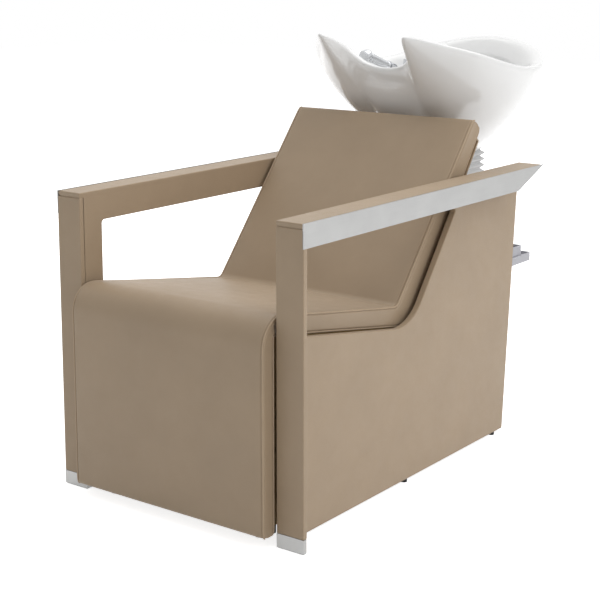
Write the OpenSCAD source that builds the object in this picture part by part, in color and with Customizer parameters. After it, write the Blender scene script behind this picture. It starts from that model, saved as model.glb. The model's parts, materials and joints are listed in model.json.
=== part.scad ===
// Salon wash unit: an open-armed chair with a tilting ceramic basin behind its backrest.
// Built with Y = 0 at the front of the arm posts and X = 0 on the centre plane, then moved
// so that the origin lies under the middle of the whole unit, on the floor.

/* [Arm frame] */
// Width over the two arms
overall_w = 660; // [640:2:700]
// Height of the arm tops
arm_h = 661; // [640:1:690]
// Distance that the arm's rear tip stands behind the foot of the side board
arm_tail = 80; // [70:1:90]
// Length of the arm's undercut tail
tail_len = 124; // [100:1:140]
// Width of the arm and post, and height of the arm's inner face
arm_w = 67; // [60:1:75]
// Height of the aluminium strip
strip_h = 49; // [40:1:55]
// Thickness of the aluminium strip
strip_t = 3; // [2:0.5:4]
// Thickness of the upholstered side board
board_t = 15; // [12:1:18]
// Thickness of the upholstered front board of a post
post_t = 10; // [8:1:12]
// Thickness of the padded arm top
arm_top_t = 12; // [9:1:14]
// Thickness of the leather covers and linings
cover_t = 1.5; // [1:0.25:2]
// Gap between the foot of the side board and the column cover
column_gap = 37; // [32:1:60]
// Backward lean of the side board's rear edge, in degrees
side_rake = 4.6; // [3:0.1:6]
// Gap under the side board
board_gap = 7; // [5:1:10]
// Height of the silver shoe under a post
shoe_h = 31; // [25:1:40]
// Thickness of the pads under the shoes
pad_t = 1.5; // [1:0.5:3]

/* [Seat] */
// Gap between the cushions and each side board
seat_gap = 10.5; // [8:0.5:16]
// Gap between the seat front and each side board
front_gap = 4.6; // [3:0.2:7]
// Distance that the seat front stands ahead of the posts
seat_proud = 36; // [30:1:42]
// Height of the lower edge of the seat front
seat_low = 26; // [20:1:45]
// Height of the seat top at the front
seat_h = 466; // [450:1:480]
// Distance behind the posts where the seat height is taken
seat_flat_y = 45; // [40:1:60]
// Slope of the seat, in degrees
seat_slope = 9.4; // [6:0.1:12]
// Thickness of the seat cushion
seat_t = 43; // [38:1:50]
// Thickness of the cushion down the seat front
front_t = 38; // [34:1:42]
// Radius of the rounded front edge of the seat
front_r = 58; // [50:1:62]
// Distance from the posts to the fold between seat and back
fold_y = 447; // [435:1:455]
// Recline of the backrest from the vertical, in degrees
back_recline = 39.8; // [38:0.1:42]
// Length of the backrest
back_len = 499; // [480:1:505]
// Thickness of the back cushion at its top
back_top_t = 44; // [40:1:50]
// Thickness of the back cushion at the fold
back_low_t = 74; // [65:1:80]
// Height of the crown of the cushions
crown = 7; // [4:0.5:10]
// Height of the crown on the seat front
crown_front = 4; // [2:0.5:6]
// Radius of the cushions' side edges
edge_r = 6; // [4:0.5:8]
// Distance that the cushion sides are drawn in
draw_in = 1.5; // [0.5:0.5:3]
// Thickness of the seat and back boards
ply_t = 12; // [9:1:15]
// Drop from the seat line to the lower edge of the arm opening
opening_drop = 43.5; // [43:0.5:50]
// Set-back of the arm opening behind the fold
opening_back = 57.5; // [55:0.5:65]
// Recline of the rear edge of the arm opening, in degrees
opening_recline = 37.7; // [36:0.1:40]
// Radius of the arm opening's low rear corner
opening_r = 110; // [80:5:120]

/* [Base] */
// Side of the square base tubes
tube = 25; // [20:1:30]
// Wall of the base tubes
tube_wall = 2; // [1.5:0.5:3]
// Thickness of the floor plate
plate_t = 8; // [6:1:10]
// Half the spacing of the floor bolts across the unit
bolt_x = 94; // [92:1:100]
// Half the spacing of the floor bolts along the unit
bolt_y = 80; // [70:1:88]
// Radius of a floor bolt hole
bolt_r = 5.5; // [4.5:0.25:6]
// Width of the column
column_w = 90; // [86:1:96]
// Depth of the column
column_d = 110; // [100:1:120]
// Wall of the column
column_wall = 4; // [3:0.5:5]
// Distance from the top of the backrest to the column axis and the pivot
pivot_back = 274; // [270:1:285]
// Half width of the column cover
cover_w = 83; // [81:1:86]
// Half depth of the column cover
cover_d = 108; // [106:1:112]
// Height of the column cover
cover_h = 595.5; // [585:0.5:600]

/* [Basin] */
// Distance from the pivot to the rear of the rim
basin_behind = 266; // [255:1:280]
// Distance from the pivot to the horn tips
basin_front = 380; // [370:1:385]
// Height of the horn tips
horn_z = 975; // [965:1:985]
// Half width of the basin
basin_w = 256; // [240:1:265]
// Height of the basin's foot
foot_z = 660; // [656:1:664]
// Half width of the basin's foot
foot_w = 80; // [78:1:82]
// Half depth of the basin's foot
foot_d = 105; // [100:1:108]
// Height of the bowl floor
bowl_z = 706; // [700:1:715]
// Thickness of the ceramic
ceramic_t = 12; // [10:1:13]
// Height of the tap deck
deck_z = 850; // [840:1:860]
// Radius of the drain hole
drain_r = 22; // [20:1:24]

/* [Tilt] */
// Height of the pivot
pivot_z = 622; // [620:1:624]
// Radius of the pivot pins
pin_r = 5; // [4:0.5:6]
// Radial running clearance of the pins
pin_gap = 0.05; // [0.02:0.01:0.08]
// Thickness of the saddle plate under the basin
saddle_t = 6; // [5:0.5:7]

/* [Plumbing] */
// Radius of the waste pipe
waste_r = 20; // [16:1:20]
// Height of the waste outlet
waste_z = 75; // [65:1:85]
// Radius of the water inlets
inlet_r = 10.5; // [9:0.25:10.5]
// Height of the water inlets
inlet_z = 150; // [140:1:170]
// Half the spacing of the water inlets
inlet_x = 22; // [22:1:26]
// Radius of the hand shower grip
grip_r = 11; // [9:0.5:11]
// Angle of the hand shower above the horizontal, in degrees
shower_tilt = 18; // [15:1:24]
// Radius of the mixer body
mixer_r = 19; // [17:0.5:21]

/* [Rear shelf] */
// Half width of the rear shelf
shelf_w = 160; // [140:1:165]
// Height of the rear shelf's underside
shelf_z = 356; // [340:1:370]
// Distance that the shelf reaches behind the column cover
shelf_reach = 108; // [90:1:115]

/* [Hidden] */

tan_leather = [0.66, 0.58, 0.48];
silver = [0.80, 0.80, 0.79];
steel = [0.22, 0.22, 0.23];
ply = [0.76, 0.62, 0.42];
chrome = [0.86, 0.87, 0.88];
ceramic = [0.95, 0.95, 0.94];
grey_plastic = [0.68, 0.68, 0.70];

half_w = overall_w / 2;
board_in = half_w - arm_w;
board_out = board_in + board_t;
seat_half = board_in - seat_gap;
front_half = board_in - front_gap;
front_y = -seat_proud;
seam = 0.3;

function seat_z(y) = seat_h - tan(seat_slope) * (y - seat_flat_y);
fold = [fold_y, seat_z(fold_y)];
pivot_y = round(fold_y + back_len * sin(back_recline)) + pivot_back;
basin_rear = pivot_y + basin_behind;
cover_front = pivot_y - cover_d;
cover_rear = pivot_y + cover_d;
side_low_len = cover_front - column_gap;
arm_len = side_low_len + arm_tail;
arm_low_len = arm_len - tail_len;
y_mid = (front_y - crown_front + basin_rear) / 2;
back_up = [sin(back_recline), cos(back_recline)];
back_behind = [cos(back_recline), -sin(back_recline)];
seat_along = [cos(seat_slope), -sin(seat_slope)];
seat_down = [-sin(seat_slope), -cos(seat_slope)];
back_taper = atan((back_low_t - back_top_t) / back_len);
function back_t(s) = back_low_t - s * tan(back_taper);
function on_back(s, d) = fold + back_up * s + back_behind * d;
function rear_of_back(s, d) = on_back(s, back_t(s) + d);
rear_along = rear_of_back(1, 0) - rear_of_back(0, 0);
function seat_under(y, d) = [y, seat_z(y) - (seat_t + d) / cos(seat_slope)];
function side_rear(z) = side_low_len + (z - board_gap) * tan(side_rake);
function cross2(a, b) = a[0] * b[1] - a[1] * b[0];
function meet(p, u, q, v) = p + u * (cross2(q - p, v) / cross2(u, v));
function unit(v) = v / norm(v);

// Points of a rounded corner at p, between the corners a and b
function corner(a, p, b, r, n) =
    r <= 0 ? [p] :
    let (u = unit(a - p), v = unit(b - p))
    let (half = acos(u * v) / 2)
    let (c = p + unit(u + v) * r / sin(half))
    let (s = p + u * r / tan(half) - c, e = p + v * r / tan(half) - c)
    let (turn = 180 - 2 * half)
    [for (k = [0:n]) c + (s * sin(turn * (1 - k / n)) + e * sin(turn * k / n)) / sin(turn)];

// Outline with each corner rounded by its own radius
function rounded(p, r, n = 6) =
    [for (i = [0:len(p) - 1]) each corner(
        p[(i + len(p) - 1) % len(p)], p[i], p[(i + 1) % len(p)], r[i], n)];

// Outline with long edges split, so that none is longer than step
function split(p, step) =
    [for (i = [0:len(p) - 1])
        let (q = p[(i + 1) % len(p)])
        let (n = max(1, ceil(norm(q - p[i]) / step)))
        each [for (k = [0:n - 1]) p[i] + (q - p[i]) * k / n]];

// Outward normals of a clockwise outline
function normals(p) =
    [for (i = [0:len(p) - 1])
        let (t = unit(p[(i + 1) % len(p)] - p[(i + len(p) - 1) % len(p)]))
        [-t[1], t[0]]];

// Moves a shape from the build frame to the unit's own frame
module place() {
    translate([0, -y_mid, 0]) children();
}

// Right-hand shape for side 1, and its mirror image for side -1
module on_side(side) {
    if (side > 0) place() children();
    else mirror([1, 0, 0]) place() children();
}

// Extrudes a Y-Z outline across X, from x0 to x1
module across(x0, x1, outline) {
    translate([x0, 0, 0]) rotate([90, 0, 90]) linear_extrude(height = x1 - x0) polygon(outline);
}

module box(x0, x1, y0, y1, z0, z1) {
    translate([x0, y0, z0]) cube([x1 - x0, y1 - y0, z1 - z0]);
}

// Upright plate with rounded corners, centred on X
module rounded_plate(hw, y0, y1, z0, z1, r) {
    outline = rounded([[-hw, y0], [-hw, y1], [hw, y1], [hw, y0]], [r, r, r, r], 5);
    translate([0, 0, z0]) linear_extrude(height = z1 - z0) polygon(outline);
}

// Arm and side board

opening_up = [sin(opening_recline), cos(opening_recline)];
opening_start = fold + [opening_back, 0];
opening_low = [0, seat_z(0) - opening_drop];
arm_inner_z = arm_h - arm_w;
arm_low_z = arm_h - strip_h;
tail_slope = (arm_len - arm_low_len) / strip_h;
post_in = arm_w;
board_top = arm_h - arm_top_t;

function side_outline(d) = [
    [post_t + d, board_gap + d],
    [post_t + d, board_top - d],
    [side_rear(board_top) - d, board_top - d],
    [side_rear(board_gap) - d, board_gap + d]
];

function opening_outline(d) =
    let (low = opening_low + seat_down * d)
    let (rear = opening_start + [d / cos(opening_recline), 0])
    let (front = meet(low, seat_along, [post_in - d, 0], [0, 1]))
    let (top_z = arm_inner_z + d)
    rounded([
        front,
        [post_in - d, top_z],
        meet(rear, opening_up, [0, top_z], [1, 0]),
        meet(low, seat_along, rear, opening_up)
    ], [4, 8, 6, opening_r], 10);

module side_shape(x0, x1, d) {
    difference() {
        across(x0, x1, side_outline(d));
        across(x0 - 1, x1 + 1, opening_outline(d));
    }
}

module side_core(side) {
    color(ply) on_side(side) side_shape(board_in + cover_t, board_out - cover_t, cover_t);
}

module side_cover(side) {
    color(tan_leather) on_side(side) difference() {
        side_shape(board_in, board_out, 0);
        side_shape(board_in + cover_t, board_out - cover_t, cover_t);
    }
}

module post_shape(d) {
    difference() {
        box(board_in + d, half_w - d, d, post_t - d, shoe_h + d, board_top - d);
        box(half_w - strip_t - d, half_w + 1, -1, post_t + 1, arm_low_z - d, arm_h);
    }
}

module post_core(side) {
    color(ply) on_side(side) post_shape(cover_t);
}

module post_cover(side) {
    color(tan_leather) on_side(side) difference() {
        post_shape(0);
        post_shape(cover_t);
    }
}

function tail_y(z) = arm_low_len + (z - arm_low_z) * tail_slope;

// Solid under the arm top, outside the side board, drawn in by d below and behind
module arm_solid(x0, x1, d) {
    fall = (arm_low_z - arm_inner_z) / (half_w - strip_t - board_in);
    section = [
        [x0, board_top],
        [x0, arm_low_z - fall * (half_w - strip_t - x0) + d],
        [x1, arm_low_z - fall * (half_w - strip_t - x1) + d],
        [x1, board_top]
    ];
    intersection() {
        translate([0, arm_len, 0]) rotate([90, 0, 0])
            linear_extrude(height = arm_len - post_t) polygon(section);
        across(x0, x1, [
            [post_t, arm_inner_z - 1],
            [post_t, board_top],
            [tail_y(board_top) - d, board_top],
            [tail_y(arm_inner_z - 1) - d, arm_inner_z - 1]
        ]);
    }
}

stud_r = 2;
stud_len = 22;
stud_z = (arm_low_z + board_top) / 2;
stud_first = 60;
stud_pitch = 230;

module strip_studs(r, x0) {
    for (y = [stud_first:stud_pitch:arm_low_len - stud_first])
        translate([x0, y, stud_z]) rotate([0, 90, 0])
            cylinder(r = r, h = half_w - strip_t - x0, $fn = 24);
}

module arm_beam(side) {
    color(ply) on_side(side) difference() {
        arm_solid(board_out, half_w - strip_t, cover_t);
        strip_studs(stud_r + 0.2, half_w - strip_t - stud_len - 1);
    }
}

module arm_lining(side) {
    color(tan_leather) on_side(side) difference() {
        arm_solid(board_out, half_w - strip_t, 0);
        arm_solid(board_out, half_w - strip_t, cover_t);
    }
}

module arm_top(side) {
    outline = rounded([
        [0, board_top], [0, arm_h], [arm_len, arm_h], [tail_y(board_top), board_top]
    ], [0, 5, 0, 0]);
    color(tan_leather) on_side(side) across(board_in, half_w - strip_t, outline);
}

module arm_strip(side) {
    outline = [[0, arm_low_z], [0, arm_h], [arm_len, arm_h], [arm_low_len, arm_low_z]];
    color(silver) on_side(side) {
        across(half_w - strip_t, half_w, outline);
        strip_studs(stud_r, half_w - strip_t - stud_len);
    }
}

module shoe(side) {
    color(silver) on_side(side) {
        box(board_in, half_w, 0, post_t, pad_t, shoe_h);
        box(board_in, board_out, post_t, post_in, pad_t, board_gap);
    }
}

module shoe_pads() {
    color([0.1, 0.1, 0.1]) for (side = [-1, 1]) on_side(side) {
        box(board_in + 2, half_w - 2, 2, post_t - 1, 0, pad_t);
        box(board_in + 2, board_out - 2, post_t + 2, post_in - 2, 0, pad_t);
    }
}

glide_r = 7;
glide_inset = 40;

module rear_glides() {
    color([0.1, 0.1, 0.1]) for (side = [-1, 1]) on_side(side)
        for (y = [side_low_len / 2 + glide_inset / 4, side_low_len - glide_inset])
            translate([board_in + board_t / 2, y, 0]) cylinder(r = glide_r, h = board_gap, $fn = 32);
}

// Cushions: rings of one outline, from side to side, with crowned faces and drawn-in sides

pad_step = 52;
side_inset = 0.23 * min(front_t, seat_t);
corner_share = 2.4;

// Share of the inset that point i can take, so that a small corner stays round
function inset_room(p, i) =
    let (gap = min(norm(p[i] - p[(i + 1) % len(p)]), norm(p[i] - p[(i + len(p) - 1) % len(p)])))
    min(1, corner_share * gap / side_inset);

// Triangles that fill a long outline from end to end, always across the shorter diagonal
function strip(p, i, j) =
    j - i < 2 ? [] :
    norm(p[i + 1] - p[j]) < norm(p[i] - p[j - 1]) ?
        concat([[i, i + 1, j]], strip(p, i + 1, j)) :
        concat([[i, j - 1, j]], strip(p, i, j - 1));

module pad(outline, weights, flare) {
    hw = seat_half;
    out = normals(outline);
    count = len(outline);
    room = [for (i = [0:count - 1]) inset_room(outline, i)];
    ring = [
        [-hw + draw_in, side_inset], [-hw, edge_r], [-hw + edge_r * 0.3, edge_r * 0.28], [-hw + edge_r, 0],
        [-hw * 0.8, 0], [-hw * 0.55, 0], [-hw * 0.28, 0], [0, 0],
        [hw * 0.28, 0], [hw * 0.55, 0], [hw * 0.8, 0],
        [hw - edge_r, 0], [hw - edge_r * 0.3, edge_r * 0.28], [hw, edge_r],
        [hw - draw_in, side_inset]
    ];
    last = len(ring) - 1;
    points = [for (g = ring) for (i = [0:count - 1])
        let (rise = weights[i] * (1 - pow(g[0] / hw, 2)))
        let (q = outline[i] + out[i] * (rise - g[1] * room[i]))
        let (wide = g[1] < side_inset ? flare[i] / hw : 0)
        [g[0] * (1 + wide), q[0], q[1]]];
    walls = [for (k = [0:last - 1]) for (i = [0:count - 1])
        let (j = (i + 1) % count, a = k * count, b = (k + 1) * count)
        each [[a + i, b + j, b + i], [a + i, a + j, b + j]]];
    side = [for (i = [0:count - 1]) outline[i] - out[i] * side_inset * room[i]];
    ends = [for (t = strip(side, 0, count - 1))
        each [[t[0], t[2], t[1]], [for (i = t) last * count + i]]];
    polyhedron(points = points, faces = concat(walls, ends));
}

inner_corner = meet(seat_under(0, 0), seat_along, rear_of_back(0, 0), rear_along);
fold_line = unit(inner_corner - fold);
fold_side = [fold_line[1], -fold_line[0]];

seat_outline = split(rounded([
    [front_y, seat_low],
    [front_y, seat_z(front_y)],
    fold + fold_side * seam,
    meet(inner_corner + fold_side * seam, fold_line, seat_under(0, 0), seat_along),
    [front_y + front_t, seat_under(front_y + front_t, 0)[1]],
    [front_y + front_t, seat_low]
], [8, front_r, 4, 4, 0, 8], 7), pad_step);

function seat_weight(p) =
    p[0] < front_y + 0.5 ? crown_front * sin(180 * min(0.5, (p[1] - seat_low) / 260)) :
    p[1] > seat_z(p[0]) - 25 && p[1] > seat_low + 250 ?
        crown_front + (crown - crown_front) * min(1, (p[0] - front_y) / 120)
        - crown * max(0, 1 - (fold_y - p[0]) / 120) : 0;

// Extra half width of the seat front, which fades behind the posts
function seat_flare(p) = (front_half - seat_half) * min(1, max(0, (30 - p[0]) / 30));

module seat_cushion() {
    color(tan_leather) place() pad(seat_outline,
        [for (p = seat_outline) max(0, seat_weight(p))], [for (p = seat_outline) seat_flare(p)]);
}

back_outline = split(rounded([
    fold - fold_side * seam,
    on_back(back_len, 0),
    on_back(back_len, back_top_t),
    meet(inner_corner - fold_side * seam, fold_line, rear_of_back(0, 0), rear_along)
], [4, 7, 14, 4], 7), pad_step);

function back_weight(p) =
    let (s = (p - fold) * back_up, d = (p - fold) * back_behind)
    d < 4 ? crown * min(1, max(0, s / 90)) * min(1, max(0, (back_len + 20 - s) / 90)) : 0;

module back_cushion() {
    color(tan_leather) place() pad(back_outline,
        [for (p = back_outline) max(0, back_weight(p))], [for (p = back_outline) 0]);
}

// Carcass

former_x = seat_half - 12.5;
former_in = former_x - ply_t;
front_board_y = front_y + front_t + seam;
ply_out = seam + ply_t;
base_top = plate_t + tube;
deck_drop = 73;
deck_under = arm_h - deck_drop;
panel_t = 15;
rear_inset = 22;
panel_half = board_in - 0.5;

function rear_panel_y(z, d) = side_rear(z) - rear_inset - d;

module front_board() {
    rear = front_board_y + ply_t;
    color(ply) place() across(-former_x, former_x, [
        [front_board_y, base_top],
        seat_under(front_board_y, ply_out),
        seat_under(rear, ply_out),
        [rear, base_top]
    ]);
}

module seat_board() {
    color(ply) place() across(-former_x, former_x, [
        seat_under(front_board_y, seam),
        meet(seat_under(0, seam), seat_along, rear_of_back(0, seam), rear_along),
        board_foot,
        seat_under(front_board_y, ply_out)
    ]);
}

lining_t = 4;
lining_inset = 4;
board_short = 22;
board_foot = meet(seat_under(0, ply_out), seat_along, rear_of_back(0, seam), rear_along);
board_heel = meet(seat_under(0, ply_out), seat_along, rear_of_back(0, ply_out), rear_along);

module back_board() {
    color(ply) place() across(-former_x, former_x, [
        board_foot,
        rear_of_back(back_len - board_short, seam),
        rear_of_back(back_len - board_short, ply_out),
        board_heel
    ]);
}

// Cover on the rear of the back board, folded over the board's upper end
module back_lining() {
    s = back_len - board_short;
    color(tan_leather) place() across(-seat_half + lining_inset, seat_half - lining_inset, [
        meet(rear_of_back(0, ply_out), rear_along, [0, deck_under], [1, 0]),
        rear_of_back(s, ply_out),
        rear_of_back(s, seam),
        rear_of_back(s + lining_t, seam),
        rear_of_back(s + lining_t, ply_out + lining_t),
        meet(rear_of_back(0, ply_out + lining_t), rear_along, [0, deck_under], [1, 0])
    ]);
}

module former(side) {
    top = meet(rear_of_back(0, ply_out), rear_along, [0, deck_under], [1, 0]);
    color(ply) on_side(side) across(former_in, former_x, [
        [front_board_y + ply_t, base_top],
        seat_under(front_board_y + ply_t, ply_out),
        board_heel,
        top,
        [rear_panel_y(deck_under, panel_t), deck_under],
        [rear_panel_y(base_top, panel_t), base_top]
    ]);
}

module deck_board() {
    y0 = seam + meet(
        rear_of_back(0, ply_out + lining_t), rear_along, [0, deck_under + ply_t], [1, 0])[0];
    color(tan_leather) place() across(-panel_half, panel_half, [
        [y0, deck_under],
        [y0, deck_under + ply_t],
        [rear_panel_y(deck_under + ply_t, 0), deck_under + ply_t],
        [rear_panel_y(deck_under, 0), deck_under]
    ]);
}

module rear_panel() {
    low = base_top + 4;
    color(tan_leather) place() across(-panel_half, panel_half, [
        [rear_panel_y(low, panel_t), low],
        [rear_panel_y(deck_under, panel_t), deck_under],
        [rear_panel_y(deck_under, 0), deck_under],
        [rear_panel_y(low, 0), low]
    ]);
}

cleat_h = 40;
cleat_front = front_board_y + ply_t + 25;
cleat_low = base_top + 27;
cleat_mid = seat_h - 166;
cleat_top = deck_under - 18;

// Battens that join a side board to its former: by the floor, under the seat, under the deck
module cleats(side) {
    color(ply) on_side(side) {
        box(former_x, board_in, cleat_front, side_low_len - 115, cleat_low, cleat_low + cleat_h);
        box(former_x, board_in, cleat_front, fold_y - 17, cleat_mid, cleat_mid + cleat_h - 5);
        box(former_x, board_in, side_low_len - 195, side_low_len - 45, cleat_top - cleat_h, cleat_top);
    }
}

// Base and column

rail_x = former_in - 78;
foot_x = former_in - 28;
plate_w = bolt_x + 14;
plate_rear = pivot_y + bolt_y + 30;
plate_front = pivot_y - 2 * bolt_y - 60;
cross_ys = [front_board_y + ply_t + 5, fold_y - 7, plate_front + 10];
foot_r = 15;
foot_stem_r = 4;

module tubes(d) {
    for (s = [-1, 1])
        box(s * rail_x - tube / 2 + d, s * rail_x + tube / 2 - d,
            cross_ys[0] + d, cross_ys[2] + tube - d, plate_t + d, base_top - d);
    for (y = cross_ys)
        box(-former_in + d, former_in - d, y + d, y + tube - d, plate_t + d, base_top - d);
}

module base_frame() {
    color(steel) place() difference() {
        tubes(0);
        tubes(tube_wall);
        for (x = [-foot_x, foot_x]) translate([x, cross_ys[0] + tube / 2, 0])
            cylinder(r = foot_stem_r + 0.2, h = base_top - tube_wall / 2, $fn = 32);
    }
}

module levelling_feet() {
    color([0.12, 0.12, 0.12]) place() for (x = [-foot_x, foot_x])
        translate([x, cross_ys[0] + tube / 2, 0]) {
            cylinder(r = foot_r, h = plate_t - 0.2, $fn = 48);
            cylinder(r = foot_stem_r, h = base_top - tube_wall, $fn = 32);
        }
}

column_top = 560;
pipe_gap = 0.5;

module column() {
    color(steel) place() difference() {
        union() {
            box(-plate_w, plate_w, plate_front, plate_rear, 0, plate_t);
            box(-column_w / 2, column_w / 2, pivot_y - column_d / 2, pivot_y + column_d / 2,
                plate_t, column_top);
        }
        box(-column_w / 2 + column_wall, column_w / 2 - column_wall,
            pivot_y - column_d / 2 + column_wall, pivot_y + column_d / 2 - column_wall,
            plate_t, column_top + 1);
        for (x = [-bolt_x, bolt_x]) for (y = [-bolt_y, bolt_y])
            translate([x, pivot_y + y, -1]) cylinder(r = bolt_r, h = plate_t + 2, $fn = 48);
        translate([0, pivot_y, waste_z]) rotate([-90, 0, 0])
            cylinder(r = waste_r + pipe_gap, h = column_d, $fn = 64);
        for (s = [-1, 1]) translate([s * inlet_x, pivot_y, inlet_z]) rotate([-90, 0, 0])
            cylinder(r = inlet_r + pipe_gap, h = column_d, $fn = 48);
    }
}

shell_t = 3;
flange_w = 16;
cover_low = plate_t + 2;
door_w = 60;
door_low = 210;
door_high = 330;

module door_opening(d) {
    box(-door_w + d, door_w - d, cover_rear - shell_t - 1, cover_rear + 1,
        door_low + d, door_high - d);
}

module column_cover() {
    color(grey_plastic) place() difference() {
        union() {
            difference() {
                rounded_plate(cover_w, cover_front, cover_rear, cover_low, cover_h, 14);
                rounded_plate(cover_w - shell_t, cover_front + shell_t, cover_rear - shell_t,
                    cover_low - 1, cover_h + 1, 11);
            }
            difference() {
                box(-cover_w + shell_t, cover_w - shell_t, cover_front + shell_t,
                    cover_rear - shell_t, column_top - 9, column_top - 5);
                box(-column_w / 2, column_w / 2, pivot_y - column_d / 2, pivot_y + column_d / 2,
                    column_top - 10, column_top);
            }
            difference() {
                rounded_plate(cover_w, cover_front, cover_rear, cover_h - shell_t, cover_h, 14);
                rounded_plate(cover_w - flange_w, cover_front + flange_w, cover_rear - flange_w,
                    cover_h - shell_t - 1, cover_h + 1, 8);
            }
        }
        door_opening(0);
        translate([0, cover_rear - 20, waste_z]) rotate([-90, 0, 0])
            cylinder(r = waste_r + pipe_gap, h = 40, $fn = 64);
        for (s = [-1, 1]) translate([s * inlet_x, cover_rear - 20, inlet_z]) rotate([-90, 0, 0])
            cylinder(r = inlet_r + pipe_gap, h = 40, $fn = 48);
        for (s = [-1, 1]) for (z = [door_low + 20, door_high - 20])
            translate([s * (door_w + 8), cover_rear - 20, z]) rotate([-90, 0, 0])
                cylinder(r = 1.9, h = 40, $fn = 24);
    }
}

door_t = 2.5;

module access_door() {
    color(grey_plastic) place() difference() {
        union() {
            door_opening(0.4);
            box(-door_w - 14, door_w + 14, cover_rear, cover_rear + door_t,
                door_low - 10, door_high + 10);
        }
        box(-door_w - 20, door_w + 20, cover_rear + door_t, cover_rear + 10, door_low - 20,
            door_high + 20);
        for (s = [-1, 1]) for (z = [door_low + 20, door_high - 20])
            translate([s * (door_w + 8), cover_rear - 20, z]) rotate([-90, 0, 0])
                cylinder(r = 2, h = 40, $fn = 24);
    }
}

module door_screws() {
    color(chrome) place() for (s = [-1, 1]) for (z = [door_low + 20, door_high - 20])
        translate([s * (door_w + 8), cover_rear, z]) rotate([-90, 0, 0]) {
            translate([0, 0, door_t]) cylinder(r = 3.6, h = 2.2, $fn = 32);
            translate([0, 0, -8]) cylinder(r = 1.8, h = 8 + door_t, $fn = 24);
        }
}

shelf_t = 13;
shelf_lip = 8;

module rear_shelf() {
    far = cover_rear + shelf_reach;
    shelf_top = shelf_z + shelf_t + shelf_lip;
    color(grey_plastic) place() difference() {
        union() {
            rounded_plate(shelf_w, cover_rear - 40, far, shelf_z, shelf_z + shelf_t, 12);
            difference() {
                rounded_plate(shelf_w, cover_rear - 40, far, shelf_z, shelf_top, 12);
                rounded_plate(shelf_w - 4, cover_rear - 36, far - 4, shelf_z, shelf_top + 1, 9);
            }
        }
        box(-cover_w, cover_w, cover_rear - 60, cover_rear, shelf_z - 1, shelf_top + 1);
        rounded_plate(shelf_w - 3, cover_rear + 3, far - 3, shelf_z - 1, shelf_z + shelf_t - 4, 9);
    }
}

holder_w = 36;
holder_d = 60;
holder_h = 33;
holder_edge = 5;

module shelf_holder() {
    low = shelf_z + shelf_t;
    color(grey_plastic) place()
        translate([shelf_w - holder_edge - holder_w, cover_rear + holder_edge, 0]) difference() {
            union() {
                rounded_plate(holder_w, 0, holder_d, low, low + holder_h, 10);
                for (k = [0:5]) translate([holder_w - 1.6, 13 + k * 7, low])
                    cylinder(r = 2.2, h = holder_h - 4, $fn = 16);
            }
            rounded_plate(holder_w - 4, 4, holder_d - 4, low + 4, low + holder_h + 1, 7);
        }
}

// Tilting head

lug_x = 56;
lug_t = 6;
saddle_lug_x = 46;
saddle_lug_t = 8;
saddle_z = foot_z - saddle_t;
lug_r = 12;
bush_r = pin_r + 2;
bracket_t = 6;
bellows_wall = 1.6;
bellows_depth = 9;
saddle_inset = bellows_depth + bellows_wall + 0.9;
saddle_r = 18;

module lug(x, t) {
    hull() {
        translate([x, pivot_y, pivot_z]) rotate([0, 90, 0]) cylinder(r = lug_r, h = t, $fn = 32);
        box(x, x + t, pivot_y - 18, pivot_y + 18, column_top + bracket_t, column_top + bracket_t + 8);
    }
}

module pivot_hole(r, x0, x1) {
    translate([x0, pivot_y, pivot_z]) rotate([0, 90, 0]) cylinder(r = r, h = x1 - x0, $fn = 64);
}

module pivot_bracket() {
    color(steel) place() difference() {
        union() {
            box(-lug_x - lug_t, lug_x + lug_t, pivot_y - column_d / 2, pivot_y + column_d / 2,
                column_top, column_top + bracket_t);
            lug(lug_x, lug_t);
            lug(-lug_x - lug_t, lug_t);
        }
        box(-34, 34, pivot_y - 40, pivot_y + 40, column_top - 1, column_top + bracket_t + 1);
        pivot_hole(bush_r, lug_x - 1, lug_x + lug_t + 1);
        pivot_hole(bush_r, -lug_x - lug_t - 1, -lug_x + 1);
    }
}

module pivot_bushes() {
    color([0.85, 0.82, 0.70]) place() for (s = [-1, 1]) difference() {
        pivot_hole(bush_r, min(s * lug_x, s * (lug_x + lug_t)), max(s * lug_x, s * (lug_x + lug_t)));
        pivot_hole(pin_r + pin_gap, -half_w, half_w);
    }
}

washer_gap = 0.1;

module friction_washers() {
    x0 = saddle_lug_x + saddle_lug_t + washer_gap;
    x1 = lug_x - washer_gap;
    color([0.3, 0.3, 0.3]) place() for (s = [-1, 1]) difference() {
        pivot_hole(pin_r + 5, min(s * x0, s * x1), max(s * x0, s * x1));
        pivot_hole(pin_r + pin_gap, -half_w, half_w);
    }
}

module pivot_pins() {
    color(chrome) place() for (s = [-1, 1]) {
        pivot_hole(pin_r, min(s * (saddle_lug_x - 2), s * (lug_x + lug_t + 0.4)),
            max(s * (saddle_lug_x - 2), s * (lug_x + lug_t + 0.4)));
        pivot_hole(pin_r + 3, min(s * (lug_x + lug_t + 0.4), s * (lug_x + lug_t + 3)),
            max(s * (lug_x + lug_t + 0.4), s * (lug_x + lug_t + 3)));
    }
}

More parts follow.
